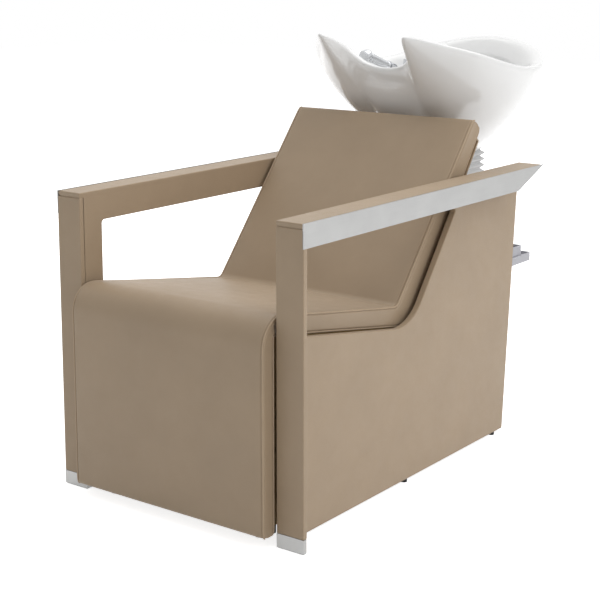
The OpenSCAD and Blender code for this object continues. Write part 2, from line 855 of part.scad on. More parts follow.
module basin_saddle() {
    color(steel) place() difference() {
        union() {
            rounded_plate(foot_w - saddle_inset, pivot_y - foot_d + saddle_inset,
                pivot_y + foot_d - saddle_inset, saddle_z, foot_z, saddle_r);
            for (s = [-1, 1]) hull() {
                translate([s > 0 ? saddle_lug_x : -saddle_lug_x - saddle_lug_t, pivot_y, pivot_z])
                    rotate([0, 90, 0]) cylinder(r = lug_r, h = saddle_lug_t, $fn = 32);
                box(s > 0 ? saddle_lug_x : -saddle_lug_x - saddle_lug_t,
                    s > 0 ? saddle_lug_x + saddle_lug_t : -saddle_lug_x,
                    pivot_y - 16, pivot_y + 16, saddle_z - 6, saddle_z);
            }
        }
        translate([0, pivot_y, saddle_z - 1]) cylinder(r = waste_r + 4, h = saddle_t + 2, $fn = 64);
        for (s = [-1, 1]) translate([s * hose_x, hose_y, saddle_z - 1])
            cylinder(r = hose_r + 3, h = saddle_t + 2, $fn = 32);
        pivot_hole(pin_r, saddle_lug_x - 1, saddle_lug_x + saddle_lug_t + 1);
        pivot_hole(pin_r, -saddle_lug_x - saddle_lug_t - 1, -saddle_lug_x + 1);
    }
}

// Bellows of eight-cornered rings

ribs = 4;

function bellows_ring(hw, hd, c) = [
    [hw, hd - c], [hw - c, hd], [-hw + c, hd], [-hw, hd - c],
    [-hw, -hd + c], [-hw + c, -hd], [hw - c, -hd], [hw, -hd + c]
];

module bellows() {
    low = cover_h;
    high = foot_z;
    pitch = (high - low) / ribs;
    levels = [for (k = [0:2 * ribs]) [low + k * pitch / 2, k % 2 == 0 ? bellows_depth : 0]];
    outer = [for (l = levels) for (q = bellows_ring(foot_w - l[1], foot_d - l[1], 12))
        [q[0], pivot_y + q[1], l[0]]];
    inner = [for (k = [len(levels) - 1:-1:0])
        let (l = levels[k], d = l[1] + bellows_wall)
        for (q = bellows_ring(foot_w - d, foot_d - d, 11)) [q[0], pivot_y + q[1], l[0]]];
    rings = 2 * len(levels);
    faces = [for (k = [0:rings - 1]) for (i = [0:7])
        let (a = k * 8, b = ((k + 1) % rings) * 8, j = (i + 1) % 8)
        each [[a + i, b + j, a + j], [a + i, b + i, b + j]]];
    color([0.69, 0.69, 0.68]) place() polyhedron(points = concat(outer, inner), faces = faces);
}

// Basin: half of each line round its top, from the neck notch round a horn to the rear, then
// mirrored. The lines are drawn in millimetres for one basin, and each table pairs a drawn
// place with the place that the sizes at the top give it.

across_table = [[0, 0], [256, basin_w]];
along_table = [[660, pivot_y - basin_front], [1040, pivot_y], [1306, basin_rear]];
height_table = [[850, deck_z], [975, horn_z]];

function stretched(line) = [for (p = line)
    [lookup(p[0], across_table), lookup(p[1], along_table), lookup(p[2], height_table)]];

rim_line = stretched([
    [0, 776, 890], [62, 766, 903], [96, 724, 946], [114, 660, 975], [150, 700, 968],
    [192, 752, 951], [236, 812, 934], [254, 905, 910], [256, 985, 894], [248, 1075, 887],
    [224, 1168, 894], [176, 1243, 916], [94, 1292, 937], [0, 1306, 946]
]);

lip_line = stretched([
    [0, 812, 874], [54, 804, 886], [90, 776, 922], [112, 716, 950], [136, 742, 946],
    [168, 784, 934], [204, 832, 916], [222, 910, 894], [225, 985, 879], [217, 1068, 873],
    [194, 1148, 880], [150, 1212, 901], [80, 1256, 921], [0, 1271, 929]
]);

// Bowl edge on the tap side, which leaves a flat deck behind the lip
deck_line = stretched([
    [0, 826, 858], [52, 816, 866], [88, 792, 892], [106, 760, 910], [128, 780, 905],
    [158, 812, 893], [190, 850, 876], [206, 905, 854], [178, 970, 850],
    [130, 1050, 850], [108, 1135, 850], [98, 1196, 856], [66, 1232, 880],
    [0, 1256, 906]
]);

edge_line = stretched([
    [0, 826, 858], [52, 816, 866], [88, 792, 892], [106, 760, 910], [128, 780, 905],
    [158, 812, 893], [192, 850, 876], [211, 914, 862], [214, 985, 850],
    [207, 1062, 850], [186, 1138, 850], [144, 1199, 874], [77, 1241, 896],
    [0, 1256, 906]
]);

// Smooth curve through the points of a line, at u from 0 to its last index
function smooth(p, u) =
    let (i = min(len(p) - 2, floor(u)), f = u - i)
    let (a = i == 0 ? [-p[1][0], p[1][1], p[1][2]] : p[i - 1], b = p[i], c = p[i + 1])
    let (d = i == len(p) - 2 ? [-b[0], b[1], b[2]] : p[i + 2])
    ((b * 2) + (c - a) * f + (a * 2 - b * 5 + c * 4 - d) * f * f
        + (b * 3 - c * 3 + d - a) * f * f * f) / 2;

side_steps = 26;
last_u = len(rim_line) - 1;
columns = 2 * side_steps;

function column_u(i) = last_u * (i <= side_steps ? i : columns - i) / side_steps;
function column_side(i) = i <= side_steps ? 1 : -1;
function around(i, p) = [column_side(i) * p[0], p[1], p[2]];
function rim_at(i) = around(i, smooth(rim_line, column_u(i)));
function lip_at(i) = around(i, smooth(lip_line, column_u(i)));
function wall_at(i) = around(i, smooth(edge_line, column_u(i)));

bowl_floor_r = 46;
hollow_rise = 29;
floor_under = bowl_z - ceramic_t - 2;

// Share of the tap deck in a column
function deck_share(i) =
    column_side(i) > 0 ? 0 : min(1, max(0, 1.9 - abs(column_u(i) - 9.4)));

// Edge of the bowl: the deck's edge on the tap side, and just below the wall's foot elsewhere
function edge_at(i) =
    let (p = around(i, smooth(column_side(i) < 0 ? deck_line : edge_line, column_u(i))))
    [p[0] * 0.985, pivot_y + (p[1] - pivot_y) * 0.985, p[2] - 0.5 - 6.5 * (1 - deck_share(i))];

// Rounded rectangle of the foot, met by column i
function foot_at(i, hw, hd, z) =
    let (a = 360 * i / columns)
    let (k = pow(pow(abs(sin(a)), 4) + pow(abs(cos(a)), 4), -0.25))
    [hw * k * sin(a), pivot_y - hd * k * cos(a), z];

function drain_at(i, rad, z) =
    [rad * sin(360 * i / columns), pivot_y - rad * cos(360 * i / columns), z];

// Fullness of the outer wall and the bowl: straight at the horns, bulging at sides and rear
function swell(u) = min(1, max(0, (u - 3) / 2));
function outer_power(i) = 1 + 0.8 * swell(column_u(i));
function bowl_power(i) = 1.15 + 1.35 * swell(column_u(i));

// Share of the horn's ridge in a column, which leans back below and forward above
function ridge(i) = pow(cos(90 * min(1, abs(column_u(i) - 3) / 2)), 2);

function mix3(a, b, s, t) = [
    a[0] + (b[0] - a[0]) * s, a[1] + (b[1] - a[1]) * s, a[2] + (b[2] - a[2]) * t
];

function outer_at(i, t) =
    mix3(foot_at(i, foot_w, foot_d, foot_z), rim_at(i),
        1 - pow(1 - t, outer_power(i)) - 0.07 * ridge(i) * sin(360 * pow(t, 1.36)), t);

function bowl_at(i, t) =
    mix3(drain_at(i, bowl_floor_r, bowl_z), edge_at(i), 1 - pow(1 - t, bowl_power(i)), t);

// Point b, moved sideways of the line from a to c within their upright plane
function aside(a, b, c, d) =
    let (way = c - a, flat = norm([way[0], way[1]]), len = norm(way))
    b + [-way[0] * way[2] / flat, -way[1] * way[2] / flat, flat] * d / len;

function hollow_outer(i, t) =
    aside(outer_at(i, t - 0.01), outer_at(i, t), outer_at(i, t + 0.01), ceramic_t);

function hollow_inner(i, t) =
    aside(bowl_at(i, t), bowl_at(i, t + 0.01), bowl_at(i, t + 0.02), -ceramic_t);

// Height of the hollow's top: under the bowl's foot, and up to the deck on the tap side
function hollow_z(i) = bowl_z + hollow_rise
    + (deck_z - ceramic_t - 4 - bowl_z - hollow_rise) * deck_share(i);
function outer_share(i) = (hollow_z(i) - foot_z) / (rim_at(i)[2] - foot_z);
function bowl_share(i) = (hollow_z(i) + ceramic_t - bowl_z) / (edge_at(i)[2] - bowl_z);

outer_steps = 8;
bowl_steps = 8;
foot_rim = 20;

basin_rings = concat(
    [for (k = [0:bowl_steps]) [for (i = [0:columns - 1]) bowl_at(i, k / bowl_steps)]],
    [[for (i = [0:columns - 1]) wall_at(i)]],
    [[for (i = [0:columns - 1]) lip_at(i)]],
    [[for (i = [0:columns - 1]) lip_at(i) * 0.7 + rim_at(i) * 0.3 + [0, 0, 7]]],
    [[for (i = [0:columns - 1]) lip_at(i) * 0.35 + rim_at(i) * 0.65 + [0, 0, 6]]],
    [for (k = [outer_steps:-1:0]) [for (i = [0:columns - 1]) outer_at(i, k / outer_steps)]],
    [[for (i = [0:columns - 1]) foot_at(i, foot_w - foot_rim, foot_d - foot_rim, foot_z)]],
    [for (k = [0.4, 0.7, 1]) [for (i = [0:columns - 1]) hollow_outer(i, k * outer_share(i))]],
    [for (k = [1, 0.6, 0.25]) [for (i = [0:columns - 1]) hollow_inner(i, k * bowl_share(i))]],
    [[for (i = [0:columns - 1]) drain_at(i, bowl_floor_r, floor_under)]]
);

module basin_shell() {
    rings = len(basin_rings);
    points = [for (ring = basin_rings) each ring];
    faces = [for (k = [0:rings - 2]) for (i = [0:columns - 1])
        let (a = k * columns, b = (k + 1) * columns, j = (i + 1) % columns)
        each [[a + i, a + j, b + j], [a + i, b + j, b + i]]];
    top = [for (i = [columns - 1:-1:0]) i];
    under = [for (i = [0:columns - 1]) (rings - 1) * columns + i];
    polyhedron(points = points, faces = concat([top], faces, [under]));
}

mixer_at = [106 - basin_w, pivot_y + 88];
sleeve_at = [92 - basin_w, pivot_y + 12];
seat_depth = 0.5;

module basin() {
    color(ceramic) place() difference() {
        basin_shell();
        translate([0, pivot_y, bowl_z - 30]) cylinder(r = drain_r, h = 40, $fn = 64);
        for (p = [mixer_at, sleeve_at]) translate([p[0], p[1], deck_z - seat_depth])
            cylinder(r = mixer_r + 5, h = 30, $fn = 64);
        for (p = [mixer_at, sleeve_at]) translate([p[0], p[1], deck_z - 30])
            cylinder(r = shank_r + 0.5, h = 40, $fn = 48);
    }
}

// Waste

module waste_flange() {
    color(chrome) place() translate([0, pivot_y, 0]) difference() {
        union() {
            translate([0, 0, bowl_z]) cylinder(r = 34, h = 2.5, $fn = 64);
            translate([0, 0, floor_under - 10])
                cylinder(r = drain_r - 0.3, h = bowl_z - floor_under + 10, $fn = 64);
        }
        translate([0, 0, bowl_z - 40]) cylinder(r = 18.5, h = 50, $fn = 64);
    }
}

module waste_tail() {
    color([0.75, 0.75, 0.76]) place() translate([0, pivot_y, 0]) difference() {
        union() {
            translate([0, 0, floor_under - 12]) cylinder(r = 32, h = 12, $fn = 64);
            translate([0, 0, saddle_z - 14])
                cylinder(r = waste_r, h = floor_under - saddle_z + 2, $fn = 64);
        }
        translate([0, 0, floor_under - 10]) cylinder(r = drain_r, h = 20, $fn = 64);
        translate([0, 0, saddle_z - 20]) cylinder(r = waste_r - 3, h = 80, $fn = 64);
    }
}

hose_low = 118;

module waste_hose() {
    color([0.6, 0.6, 0.62]) place() translate([0, pivot_y, hose_low]) difference() {
        cylinder(r = waste_r - 2, h = saddle_z - 14 - hose_low, $fn = 48);
        translate([0, 0, -1]) cylinder(r = waste_r - 4, h = saddle_z, $fn = 48);
    }
}

outlet_len = 26;

module waste_outlet() {
    color([0.6, 0.6, 0.62]) place() difference() {
        union() {
            translate([0, pivot_y, waste_z])
                cylinder(r = waste_r - 1, h = hose_low - waste_z, $fn = 64);
            translate([0, pivot_y, waste_z]) sphere(r = waste_r - 1, $fn = 64);
            translate([0, pivot_y, waste_z]) rotate([-90, 0, 0])
                cylinder(r = waste_r - 1, h = cover_d + 1, $fn = 64);
            translate([0, cover_rear, waste_z]) rotate([-90, 0, 0])
                cylinder(r = waste_r, h = outlet_len, $fn = 64);
        }
        translate([0, pivot_y, waste_z]) cylinder(r = waste_r - 3, h = 80, $fn = 64);
        translate([0, pivot_y, waste_z]) sphere(r = waste_r - 3, $fn = 64);
        translate([0, pivot_y, waste_z]) rotate([-90, 0, 0])
            cylinder(r = waste_r - 3, h = cover_d + outlet_len + 1, $fn = 64);
    }
}

// Water

hose_r = 4;
hose_x = 28;
hose_y = pivot_y + 22;
inlet_len = 16;
valve_y = pivot_y + 22;

module inlet_valves() {
    color([0.80, 0.70, 0.45]) place() for (s = [-1, 1]) {
        translate([s * inlet_x, valve_y, inlet_z]) rotate([-90, 0, 0])
            cylinder(r = inlet_r - 1.5, h = cover_rear + 1 - valve_y, $fn = 64);
        translate([s * inlet_x, cover_rear, inlet_z]) rotate([-90, 0, 0])
            cylinder(r = inlet_r, h = inlet_len, $fn = 64);
        translate([s * hose_x, hose_y, inlet_z]) cylinder(r = 7, h = 24, $fn = 48);
    }
}

module supply_hoses() {
    color([0.7, 0.7, 0.7]) place() for (s = [-1, 1]) translate([s * hose_x, hose_y, inlet_z + 24])
        cylinder(r = hose_r, h = foot_z + 4 - inlet_z - 24, $fn = 24);
}

mixer_h = 34;
shank_r = 8;
spindle_r = 9;
tap_z = deck_z - seat_depth;

module mixer_body() {
    color(chrome) place() translate([mixer_at[0], mixer_at[1], 0]) {
        translate([0, 0, tap_z]) cylinder(r = mixer_r + 4, h = 5, $fn = 64);
        translate([0, 0, tap_z - 24]) cylinder(r = shank_r, h = 26, $fn = 48);
        difference() {
            translate([0, 0, tap_z + 4]) cylinder(r = mixer_r, h = mixer_h - 4, $fn = 64);
            translate([0, 0, tap_z + mixer_h - 14])
                cylinder(r = spindle_r + pin_gap, h = 20, $fn = 64);
        }
    }
}

spindle_z = tap_z + mixer_h;
disc_t = 3;
knuckle_r = 7;
lever_z = spindle_z + disc_t + knuckle_r + 0.7;
lever_turn = 62;
lever_pin_r = 2.5;

module at_mixer() {
    place() translate([mixer_at[0], mixer_at[1], 0]) rotate([0, 0, lever_turn]) children();
}

module mixer_spindle() {
    color(chrome) at_mixer() difference() {
        union() {
            translate([0, 0, spindle_z - 13.8]) cylinder(r = spindle_r, h = 14.2, $fn = 64);
            translate([0, 0, spindle_z + 0.2]) cylinder(r = mixer_r, h = disc_t, $fn = 64);
            box(-4, 4, -4.5, 4.5, spindle_z + disc_t, lever_z + 5);
        }
        translate([-10, 0, lever_z]) rotate([0, 90, 0])
            cylinder(r = lever_pin_r, h = 20, $fn = 48);
    }
}

module mixer_lever() {
    color(chrome) at_mixer() translate([0, 0, lever_z]) {
        difference() {
            union() {
                translate([-12, 0, 0]) rotate([0, 90, 0])
                    cylinder(r = knuckle_r, h = 24, $fn = 48);
                translate([0, -4, 0]) rotate([80, 0, 0]) cylinder(r = 5.5, h = 52, $fn = 48);
                translate([0, -4, 0]) rotate([80, 0, 0]) translate([0, 0, 52])
                    sphere(r = 7, $fn = 48);
            }
            box(-4.3, 4.3, -8.2, 8.2, -10, 10);
        }
        translate([-8, 0, 0]) rotate([0, 90, 0])
            cylinder(r = lever_pin_r - pin_gap, h = 16, $fn = 48);
    }
}

// Hand shower on its sloping sleeve

shower_rise = 19;
sleeve_len = 26;
stem_r = grip_r - 1;
stem_gap = 0.3;

module along_shower() {
    place() translate([sleeve_at[0], sleeve_at[1], tap_z + shower_rise])
        rotate([90 - shower_tilt, 0, 0]) children();
}

module shower_sleeve() {
    color(chrome) difference() {
        union() {
            along_shower() translate([0, 0, -sleeve_len / 2])
                cylinder(r = grip_r + 3, h = sleeve_len, $fn = 64);
            place() translate([sleeve_at[0], sleeve_at[1], tap_z]) {
                cylinder(r = 18, h = 4, $fn = 64);
                translate([0, 0, -24]) cylinder(r = shank_r, h = 26, $fn = 48);
                cylinder(r = 11, h = shower_rise - 2, $fn = 64);
            }
        }
        along_shower() translate([0, 0, -sleeve_len / 2 + 4])
            cylinder(r = stem_r + stem_gap, h = 60, $fn = 64);
    }
}

grip_len = 94;
head_r = 16;
head_len = 26;
head_turn = 30;

module hand_shower() {
    color(chrome) along_shower() {
        translate([0, 0, -sleeve_len / 2 + 4.3]) cylinder(r = stem_r, h = sleeve_len, $fn = 64);
        translate([0, 0, sleeve_len / 2 + 1])
            cylinder(r1 = grip_r, r2 = grip_r + 3, h = grip_len, $fn = 64);
        translate([0, 0, sleeve_len / 2 + 1 + grip_len + 10]) rotate([head_turn, 0, 0])
            translate([0, 0, -head_len / 2]) {
                cylinder(r = head_r, h = head_len, $fn = 64);
                translate([0, 0, head_len]) cylinder(r = head_r - 3, h = 1.5, $fn = 64);
            }
    }
}

module strainer() {
    color(chrome) place() translate([0, pivot_y, bowl_z]) {
        difference() {
            union() {
                translate([0, 0, 2.8]) cylinder(r = 22, h = 1.6, $fn = 64);
                translate([0, 0, -12]) cylinder(r = 17.5, h = 15, $fn = 64);
            }
            translate([0, 0, -13]) cylinder(r = 16, h = 15, $fn = 64);
            for (a = [0:45:315]) rotate([0, 0, a]) translate([11, 0, -20])
                cylinder(r = 2.2, h = 40, $fn = 24);
        }
        translate([0, 0, 4.4]) cylinder(r = 3, h = 7, $fn = 32);
        translate([0, 0, 13]) sphere(r = 4.5, $fn = 32);
    }
}

base_frame();
column();
levelling_feet();
former(-1);  // former_left
former(1);  // former_right
front_board();
seat_board();
back_board();
seat_cushion();
back_cushion();
back_lining();
deck_board();
rear_panel();
side_core(-1);  // side_core_left
side_core(1);  // side_core_right
side_cover(-1);  // side_cover_left
side_cover(1);  // side_cover_right
cleats(-1);  // cleats_left
cleats(1);  // cleats_right
post_core(-1);  // post_core_left
post_core(1);  // post_core_right
post_cover(-1);  // post_cover_left
post_cover(1);  // post_cover_right
arm_beam(-1);  // arm_beam_left
arm_beam(1);  // arm_beam_right
arm_lining(-1);  // arm_lining_left
arm_lining(1);  // arm_lining_right
arm_top(-1);  // arm_top_left
arm_top(1);  // arm_top_right
arm_strip(-1);  // arm_strip_left
arm_strip(1);  // arm_strip_right
shoe(-1);  // shoe_left
shoe(1);  // shoe_right
shoe_pads();
rear_glides();
column_cover();
access_door();
door_screws();
rear_shelf();
shelf_holder();
pivot_bracket();
pivot_bushes();
bellows();
inlet_valves();
waste_outlet();
waste_hose();
supply_hoses();
basin();
basin_saddle();
pivot_pins();
friction_washers();
waste_flange();
waste_tail();
mixer_body();
shower_sleeve();
mixer_spindle();
mixer_lever();
hand_shower();
strainer();
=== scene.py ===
import json
import math

import bpy
import numpy as np
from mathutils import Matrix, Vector
from mathutils.geometry import tessellate_polygon


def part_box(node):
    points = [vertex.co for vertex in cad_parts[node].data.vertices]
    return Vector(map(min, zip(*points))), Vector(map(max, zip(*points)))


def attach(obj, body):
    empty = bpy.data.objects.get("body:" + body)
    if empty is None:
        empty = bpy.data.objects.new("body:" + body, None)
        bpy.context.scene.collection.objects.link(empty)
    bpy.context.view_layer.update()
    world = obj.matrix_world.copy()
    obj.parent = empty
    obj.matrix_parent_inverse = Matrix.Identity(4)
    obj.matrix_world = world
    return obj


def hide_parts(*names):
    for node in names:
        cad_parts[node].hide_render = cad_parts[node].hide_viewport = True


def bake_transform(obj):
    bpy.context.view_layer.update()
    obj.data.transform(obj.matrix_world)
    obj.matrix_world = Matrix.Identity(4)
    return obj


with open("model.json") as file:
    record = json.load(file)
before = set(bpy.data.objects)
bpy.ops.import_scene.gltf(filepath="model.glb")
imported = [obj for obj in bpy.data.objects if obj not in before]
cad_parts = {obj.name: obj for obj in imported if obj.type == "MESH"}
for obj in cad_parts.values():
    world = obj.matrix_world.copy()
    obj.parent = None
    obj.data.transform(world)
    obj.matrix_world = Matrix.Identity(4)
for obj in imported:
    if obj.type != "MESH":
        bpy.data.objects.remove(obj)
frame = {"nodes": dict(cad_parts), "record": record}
nodes = frame["nodes"]
scene = bpy.context.scene
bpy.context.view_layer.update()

# Sizes of the unit in millimetres, with Y measured from the front of the arm posts, as in the
# part's source
MM = 0.001
Y_MID = 633.0
HALF_W = 330.0
BOARD_IN = 263.0
BOARD_OUT = 278.0
STRIP_T = 3.0
STRIP_H = 49.0
ARM_H = 661.0
ARM_W = 67.0
ARM_LEN = 975.0
ARM_LOW_LEN = 851.0
ARM_TOP_T = 12.0
POST_T = 10.0
SHOE_H = 31.0
BOARD_GAP = 7.0
SIDE_LOW_LEN = 895.0
SIDE_RAKE = math.radians(4.6)
OPENING_RECLINE = math.radians(37.7)
SEAT_HALF = 252.5
FRONT_HALF = 258.4
FRONT_Y = -36.0
FRONT_T = 38.0
FRONT_R = 58.0
SEAT_LOW = 26.0
SEAT_H = 466.0
SEAT_FLAT_Y = 45.0
FOLD_Y = 447.0
SEAT_T = 43.0
SEAT_SLOPE = math.radians(9.4)
BACK_RECLINE = math.radians(39.8)
BACK_LEN = 503.0
BACK_TOP_T = 44.0
BACK_LOW_T = 74.0
PIVOT_Y = 1040.0
COVER_H = 595.5
FOOT_Z = 660.0
FOOT_W = 80.0
FOOT_D = 105.0
BOWL_Z = 706.0
DECK_Z = 850.0


# ---------------- small geometry helpers

def vec(*v):
    return np.array(v, float)


def unit(v):
    return v / np.linalg.norm(v)


def cross2(a, b):
    return a[0] * b[1] - a[1] * b[0]


def meet(p, u, q, v):
    """Where the line through p along u meets the line through q along v."""
    return p + u * (cross2(q - p, v) / cross2(u, v))


def corner(a, p, b, r, n):
    """Points of a rounded corner at p, between the corners a and b."""
    if r <= 0:
        return [p]
    u, v = unit(a - p), unit(b - p)
    half = math.acos(float(np.clip(u @ v, -1, 1))) / 2
    c = p + unit(u + v) * r / math.sin(half)
    s, e = p + u * r / math.tan(half) - c, p + v * r / math.tan(half) - c
    turn = math.pi - 2 * half
    return [c + (s * math.sin(turn * (1 - k / n)) + e * math.sin(turn * k / n)) / math.sin(turn)
            for k in range(n + 1)]


def rounded(points, radii, n):
    """Closed outline with its corners rounded."""
    m = len(points)
    out = []
    for i in range(m):
        out += corner(points[i - 1], points[i], points[(i + 1) % m], radii[i], n)
    return out


def leg(points, n):
    """An open line, resampled into n equal steps."""
    p = np.array(points, float)
    d = np.r_[0, np.cumsum(np.linalg.norm(np.diff(p, axis=0), axis=1))]
    at = np.linspace(0, d[-1], n + 1)
    return np.stack([np.interp(at, d, p[:, k]) for k in range(p.shape[1])], axis=1)


def legs(*parts):
    """Several legs in a row, each joint kept once."""
    out = [parts[0]]
    for p in parts[1:]:
        out.append(p[1:])
    return np.vstack(out)


def circle(n):
    """Angles of n equal steps round a circle."""
    return np.arange(n) * 2 * math.pi / n


def metres(points):
    p = np.array(points, float)
    p[..., 1] -= Y_MID
    return p * MM


def mesh_object(name, points, faces, slot):
    """New mesh piece from points in metres."""
    mesh = bpy.data.meshes.new(name)
    mesh.from_pydata([tuple(p) for p in points], [], [tuple(f) for f in faces])
    mesh.update()
    mesh.polygons.foreach_set("use_smooth", [True] * len(mesh.polygons))
    obj = bpy.data.objects.new(name, mesh)
    scene.collection.objects.link(obj)
    mesh.materials.append(materials[slot])
    return obj


def ring_faces(count, size):
    """Quads between count rings of size points each."""
    out = []
    for k in range(count - 1):
        for i in range(size):
            j = (i + 1) % size
            a, b = k * size, (k + 1) * size
            out.append((a + i, a + j, b + j, b + i))
    return out


def caps(count, size):
    """End faces of a closed tube of count rings."""
    return [tuple(range(size))[::-1], tuple((count - 1) * size + i for i in range(size))]


def normals(obj):
    out = np.zeros(len(obj.data.vertices) * 3)
    obj.data.vertices.foreach_get("normal", out)
    return out.reshape(-1, 3)


def subdivide(obj):
    mod = obj.modifiers.new("Subdivision", "SUBSURF")
    mod.levels = mod.render_levels = 1
    return obj


def skin(name, rings, slot, thickness):
    """Open tube through rings of points in millimetres, with a wall in metres on its inside."""
    faces = ring_faces(len(rings), len(rings[0]))
    obj = mesh_object(name, metres(np.vstack(rings)), faces, slot)
    mod = obj.modifiers.new("Wall", "SOLIDIFY")
    mod.thickness = thickness
    mod.offset = -1
    return obj


TUBE_SIDES = 8
TUBE_END = 0.45


def tube(name, path, radius, slot, taper):
    """Round tube of the given radius in metres along points in metres; taper narrows its ends."""
    p = np.array(path, float)
    n = len(p)
    tangent = np.gradient(p, axis=0)
    tangent /= np.linalg.norm(tangent, axis=1)[:, None]
    side = unit(np.cross(tangent[0], vec(0.31, 0.2, 0.93)))
    rings = []
    radii = np.full(n, radius)
    for end, small in zip((0, -1), taper):
        if small:
            radii[end] = radius * TUBE_END
    for i in range(n):
        side = unit(side - tangent[i] * (side @ tangent[i]))
        up = np.cross(tangent[i], side)
        a = circle(TUBE_SIDES)
        rings.append(p[i] + radii[i] * (np.cos(a)[:, None] * side + np.sin(a)[:, None] * up))
    faces = ring_faces(n, TUBE_SIDES) + caps(n, TUBE_SIDES)
    return mesh_object(name, np.vstack(rings), faces, slot)


NEARLY_STRAIGHT = 1.5


def soft_profile(points, r):
    """Open profile whose inner corners are rounded by about r."""
    p = [np.array(q, float) for q in points]
    out = [p[0]]
    for i in range(1, len(p) - 1):
        a, b, c = p[i - 1], p[i], p[i + 1]
        reach = min(np.linalg.norm(a - b), np.linalg.norm(c - b)) * 0.45
        u, v = unit(a - b), unit(c - b)
        half = math.acos(float(np.clip(u @ v, -1, 1))) / 2
        if half > NEARLY_STRAIGHT:
            out.append(b)
            continue
        out += corner(a, b, c, min(r, reach * math.tan(half)), 4)
    out.append(p[-1])
    return out


TURNED_SIDES = 64
POINTED = 0.02


def turned(name, points, soft, place):
    """Chrome piece turned from points of radius and height, with its turn and place."""
    profile = soft_profile(points, soft)
    rings = []
    for r, h in profile:
        a = circle(TURNED_SIDES)
        rings.append(np.stack([r * np.cos(a), r * np.sin(a), np.full(TURNED_SIDES, h)], axis=1))
    world = np.vstack(rings) @ np.array(place[0]).T + np.array(place[1])
    faces = ring_faces(len(profile), TURNED_SIDES)
    # An end that runs to a point needs no face of its own
    ends = zip(caps(len(profile), TURNED_SIDES), (profile[0], profile[-1]))
    faces += [cap for cap, (r, _) in ends if r > POINTED]
    return mesh_object(name, metres(world), faces, "chrome")


# ---------------- materials

def colour(r, g, b):
    """sRGB values from 0 to 255 as a linear colour."""
    lin = []
    for c in (r, g, b):
        c /= 255.0
        lin.append(c / 12.92 if c <= 0.04045 else ((c + 0.055) / 1.055) ** 2.4)
    return (*lin, 1.0)


def clean_tree(owner):
    """Emptied node tree of a material or of the world."""
    owner.use_nodes = True
    owner.node_tree.nodes.clear()
    return owner.node_tree


class Shader:
    """A material's node tree, with short calls for what is made often."""

    def __init__(self, name, base, rough, metallic=0.0, **sockets):
        self.material = bpy.data.materials.new(name)
        self.tree = clean_tree(self.material)
        out = self.add("ShaderNodeOutputMaterial")
        self.bsdf = self.add("ShaderNodeBsdfPrincipled")
        self.link(self.bsdf.outputs["BSDF"], out.inputs["Surface"])
        self.bsdf.inputs["Base Color"].default_value = base
        self.bsdf.inputs["Roughness"].default_value = rough
        self.bsdf.inputs["Metallic"].default_value = metallic
        for key, value in sockets.items():
            self.bsdf.inputs[key.replace("_", " ")].default_value = value
        self.coord = self.add("ShaderNodeTexCoord").outputs["Object"]
        self.base = base

    def add(self, kind, **props):
        node = self.tree.nodes.new(kind)
        for key, value in props.items():
            setattr(node, key, value)
        return node

    def link(self, a, b):
        self.tree.links.new(a, b)

    def stretch(self, scale):
        node = self.add("ShaderNodeMapping")
        node.inputs["Scale"].default_value = scale
        self.link(self.coord, node.inputs["Vector"])
        return node.outputs["Vector"]

    def noise(self, scale, detail=3.0, rough=0.5, vector=None):
        node = self.add("ShaderNodeTexNoise")
        node.inputs["Scale"].default_value = scale
        node.inputs["Detail"].default_value = detail
        node.inputs["Roughness"].default_value = rough
        self.link(vector or self.coord, node.inputs["Vector"])
        return node.outputs["Fac"]

    def cells(self, scale, feature="DISTANCE_TO_EDGE", vector=None):
        node = self.add("ShaderNodeTexVoronoi", feature=feature)
        node.inputs["Scale"].default_value = scale
        self.link(vector or self.coord, node.inputs["Vector"])
        return node.outputs["Distance"]

    def ramp(self, value, stops):
        node = self.add("ShaderNodeValToRGB")
        element = node.color_ramp.elements
        while len(element) < len(stops):
            element.new(0.5)
        for e, (at, col) in zip(element, stops):
            e.position = at
            e.color = col
        self.link(value, node.inputs["Fac"])
        return node.outputs["Color"]

    def remap(self, value, a, b, low, high):
        node = self.add("ShaderNodeMapRange")
        for key, number in zip(("From Min", "From Max", "To Min", "To Max"), (a, b, low, high)):
            node.inputs[key].default_value = number
        self.link(value, node.inputs["Value"])
        return node.outputs["Result"]

    def mix(self, fac, a, b):
        node = self.add("ShaderNodeMix", data_type="RGBA")
        for socket, item in ((0, fac), (6, a), (7, b)):
            if isinstance(item, (int, float, tuple)):
                node.inputs[socket].default_value = item
            else:
                self.link(item, node.inputs[socket])
        return node.outputs[2]

    def math(self, op, a, b):
        node = self.add("ShaderNodeMath", operation=op)
        for k, item in enumerate((a, b)):
            if isinstance(item, (int, float)):
                node.inputs[k].default_value = item
            else:
                self.link(item, node.inputs[k])
        return node.outputs[0]

    def bump(self, height, strength, distance, normal=None):
        node = self.add("ShaderNodeBump")
        node.inputs["Strength"].default_value = strength
        node.inputs["Distance"].default_value = distance
        self.link(height, node.inputs["Height"])
        if normal:
            self.link(normal, node.inputs["Normal"])
        return node.outputs["Normal"]

    def set(self, socket, value):
        self.link(value, self.bsdf.inputs[socket])

    def tint(self, value, low, high):
        """Base colour that drifts between two shades of the base with a noise value."""
        stops = [(0.3, shade(self.base, low)), (0.7, shade(self.base, high))]
        self.set("Base Color", self.ramp(value, stops))


def shade(col, k):
    return (col[0] * k, col[1] * k, col[2] * k, 1.0)


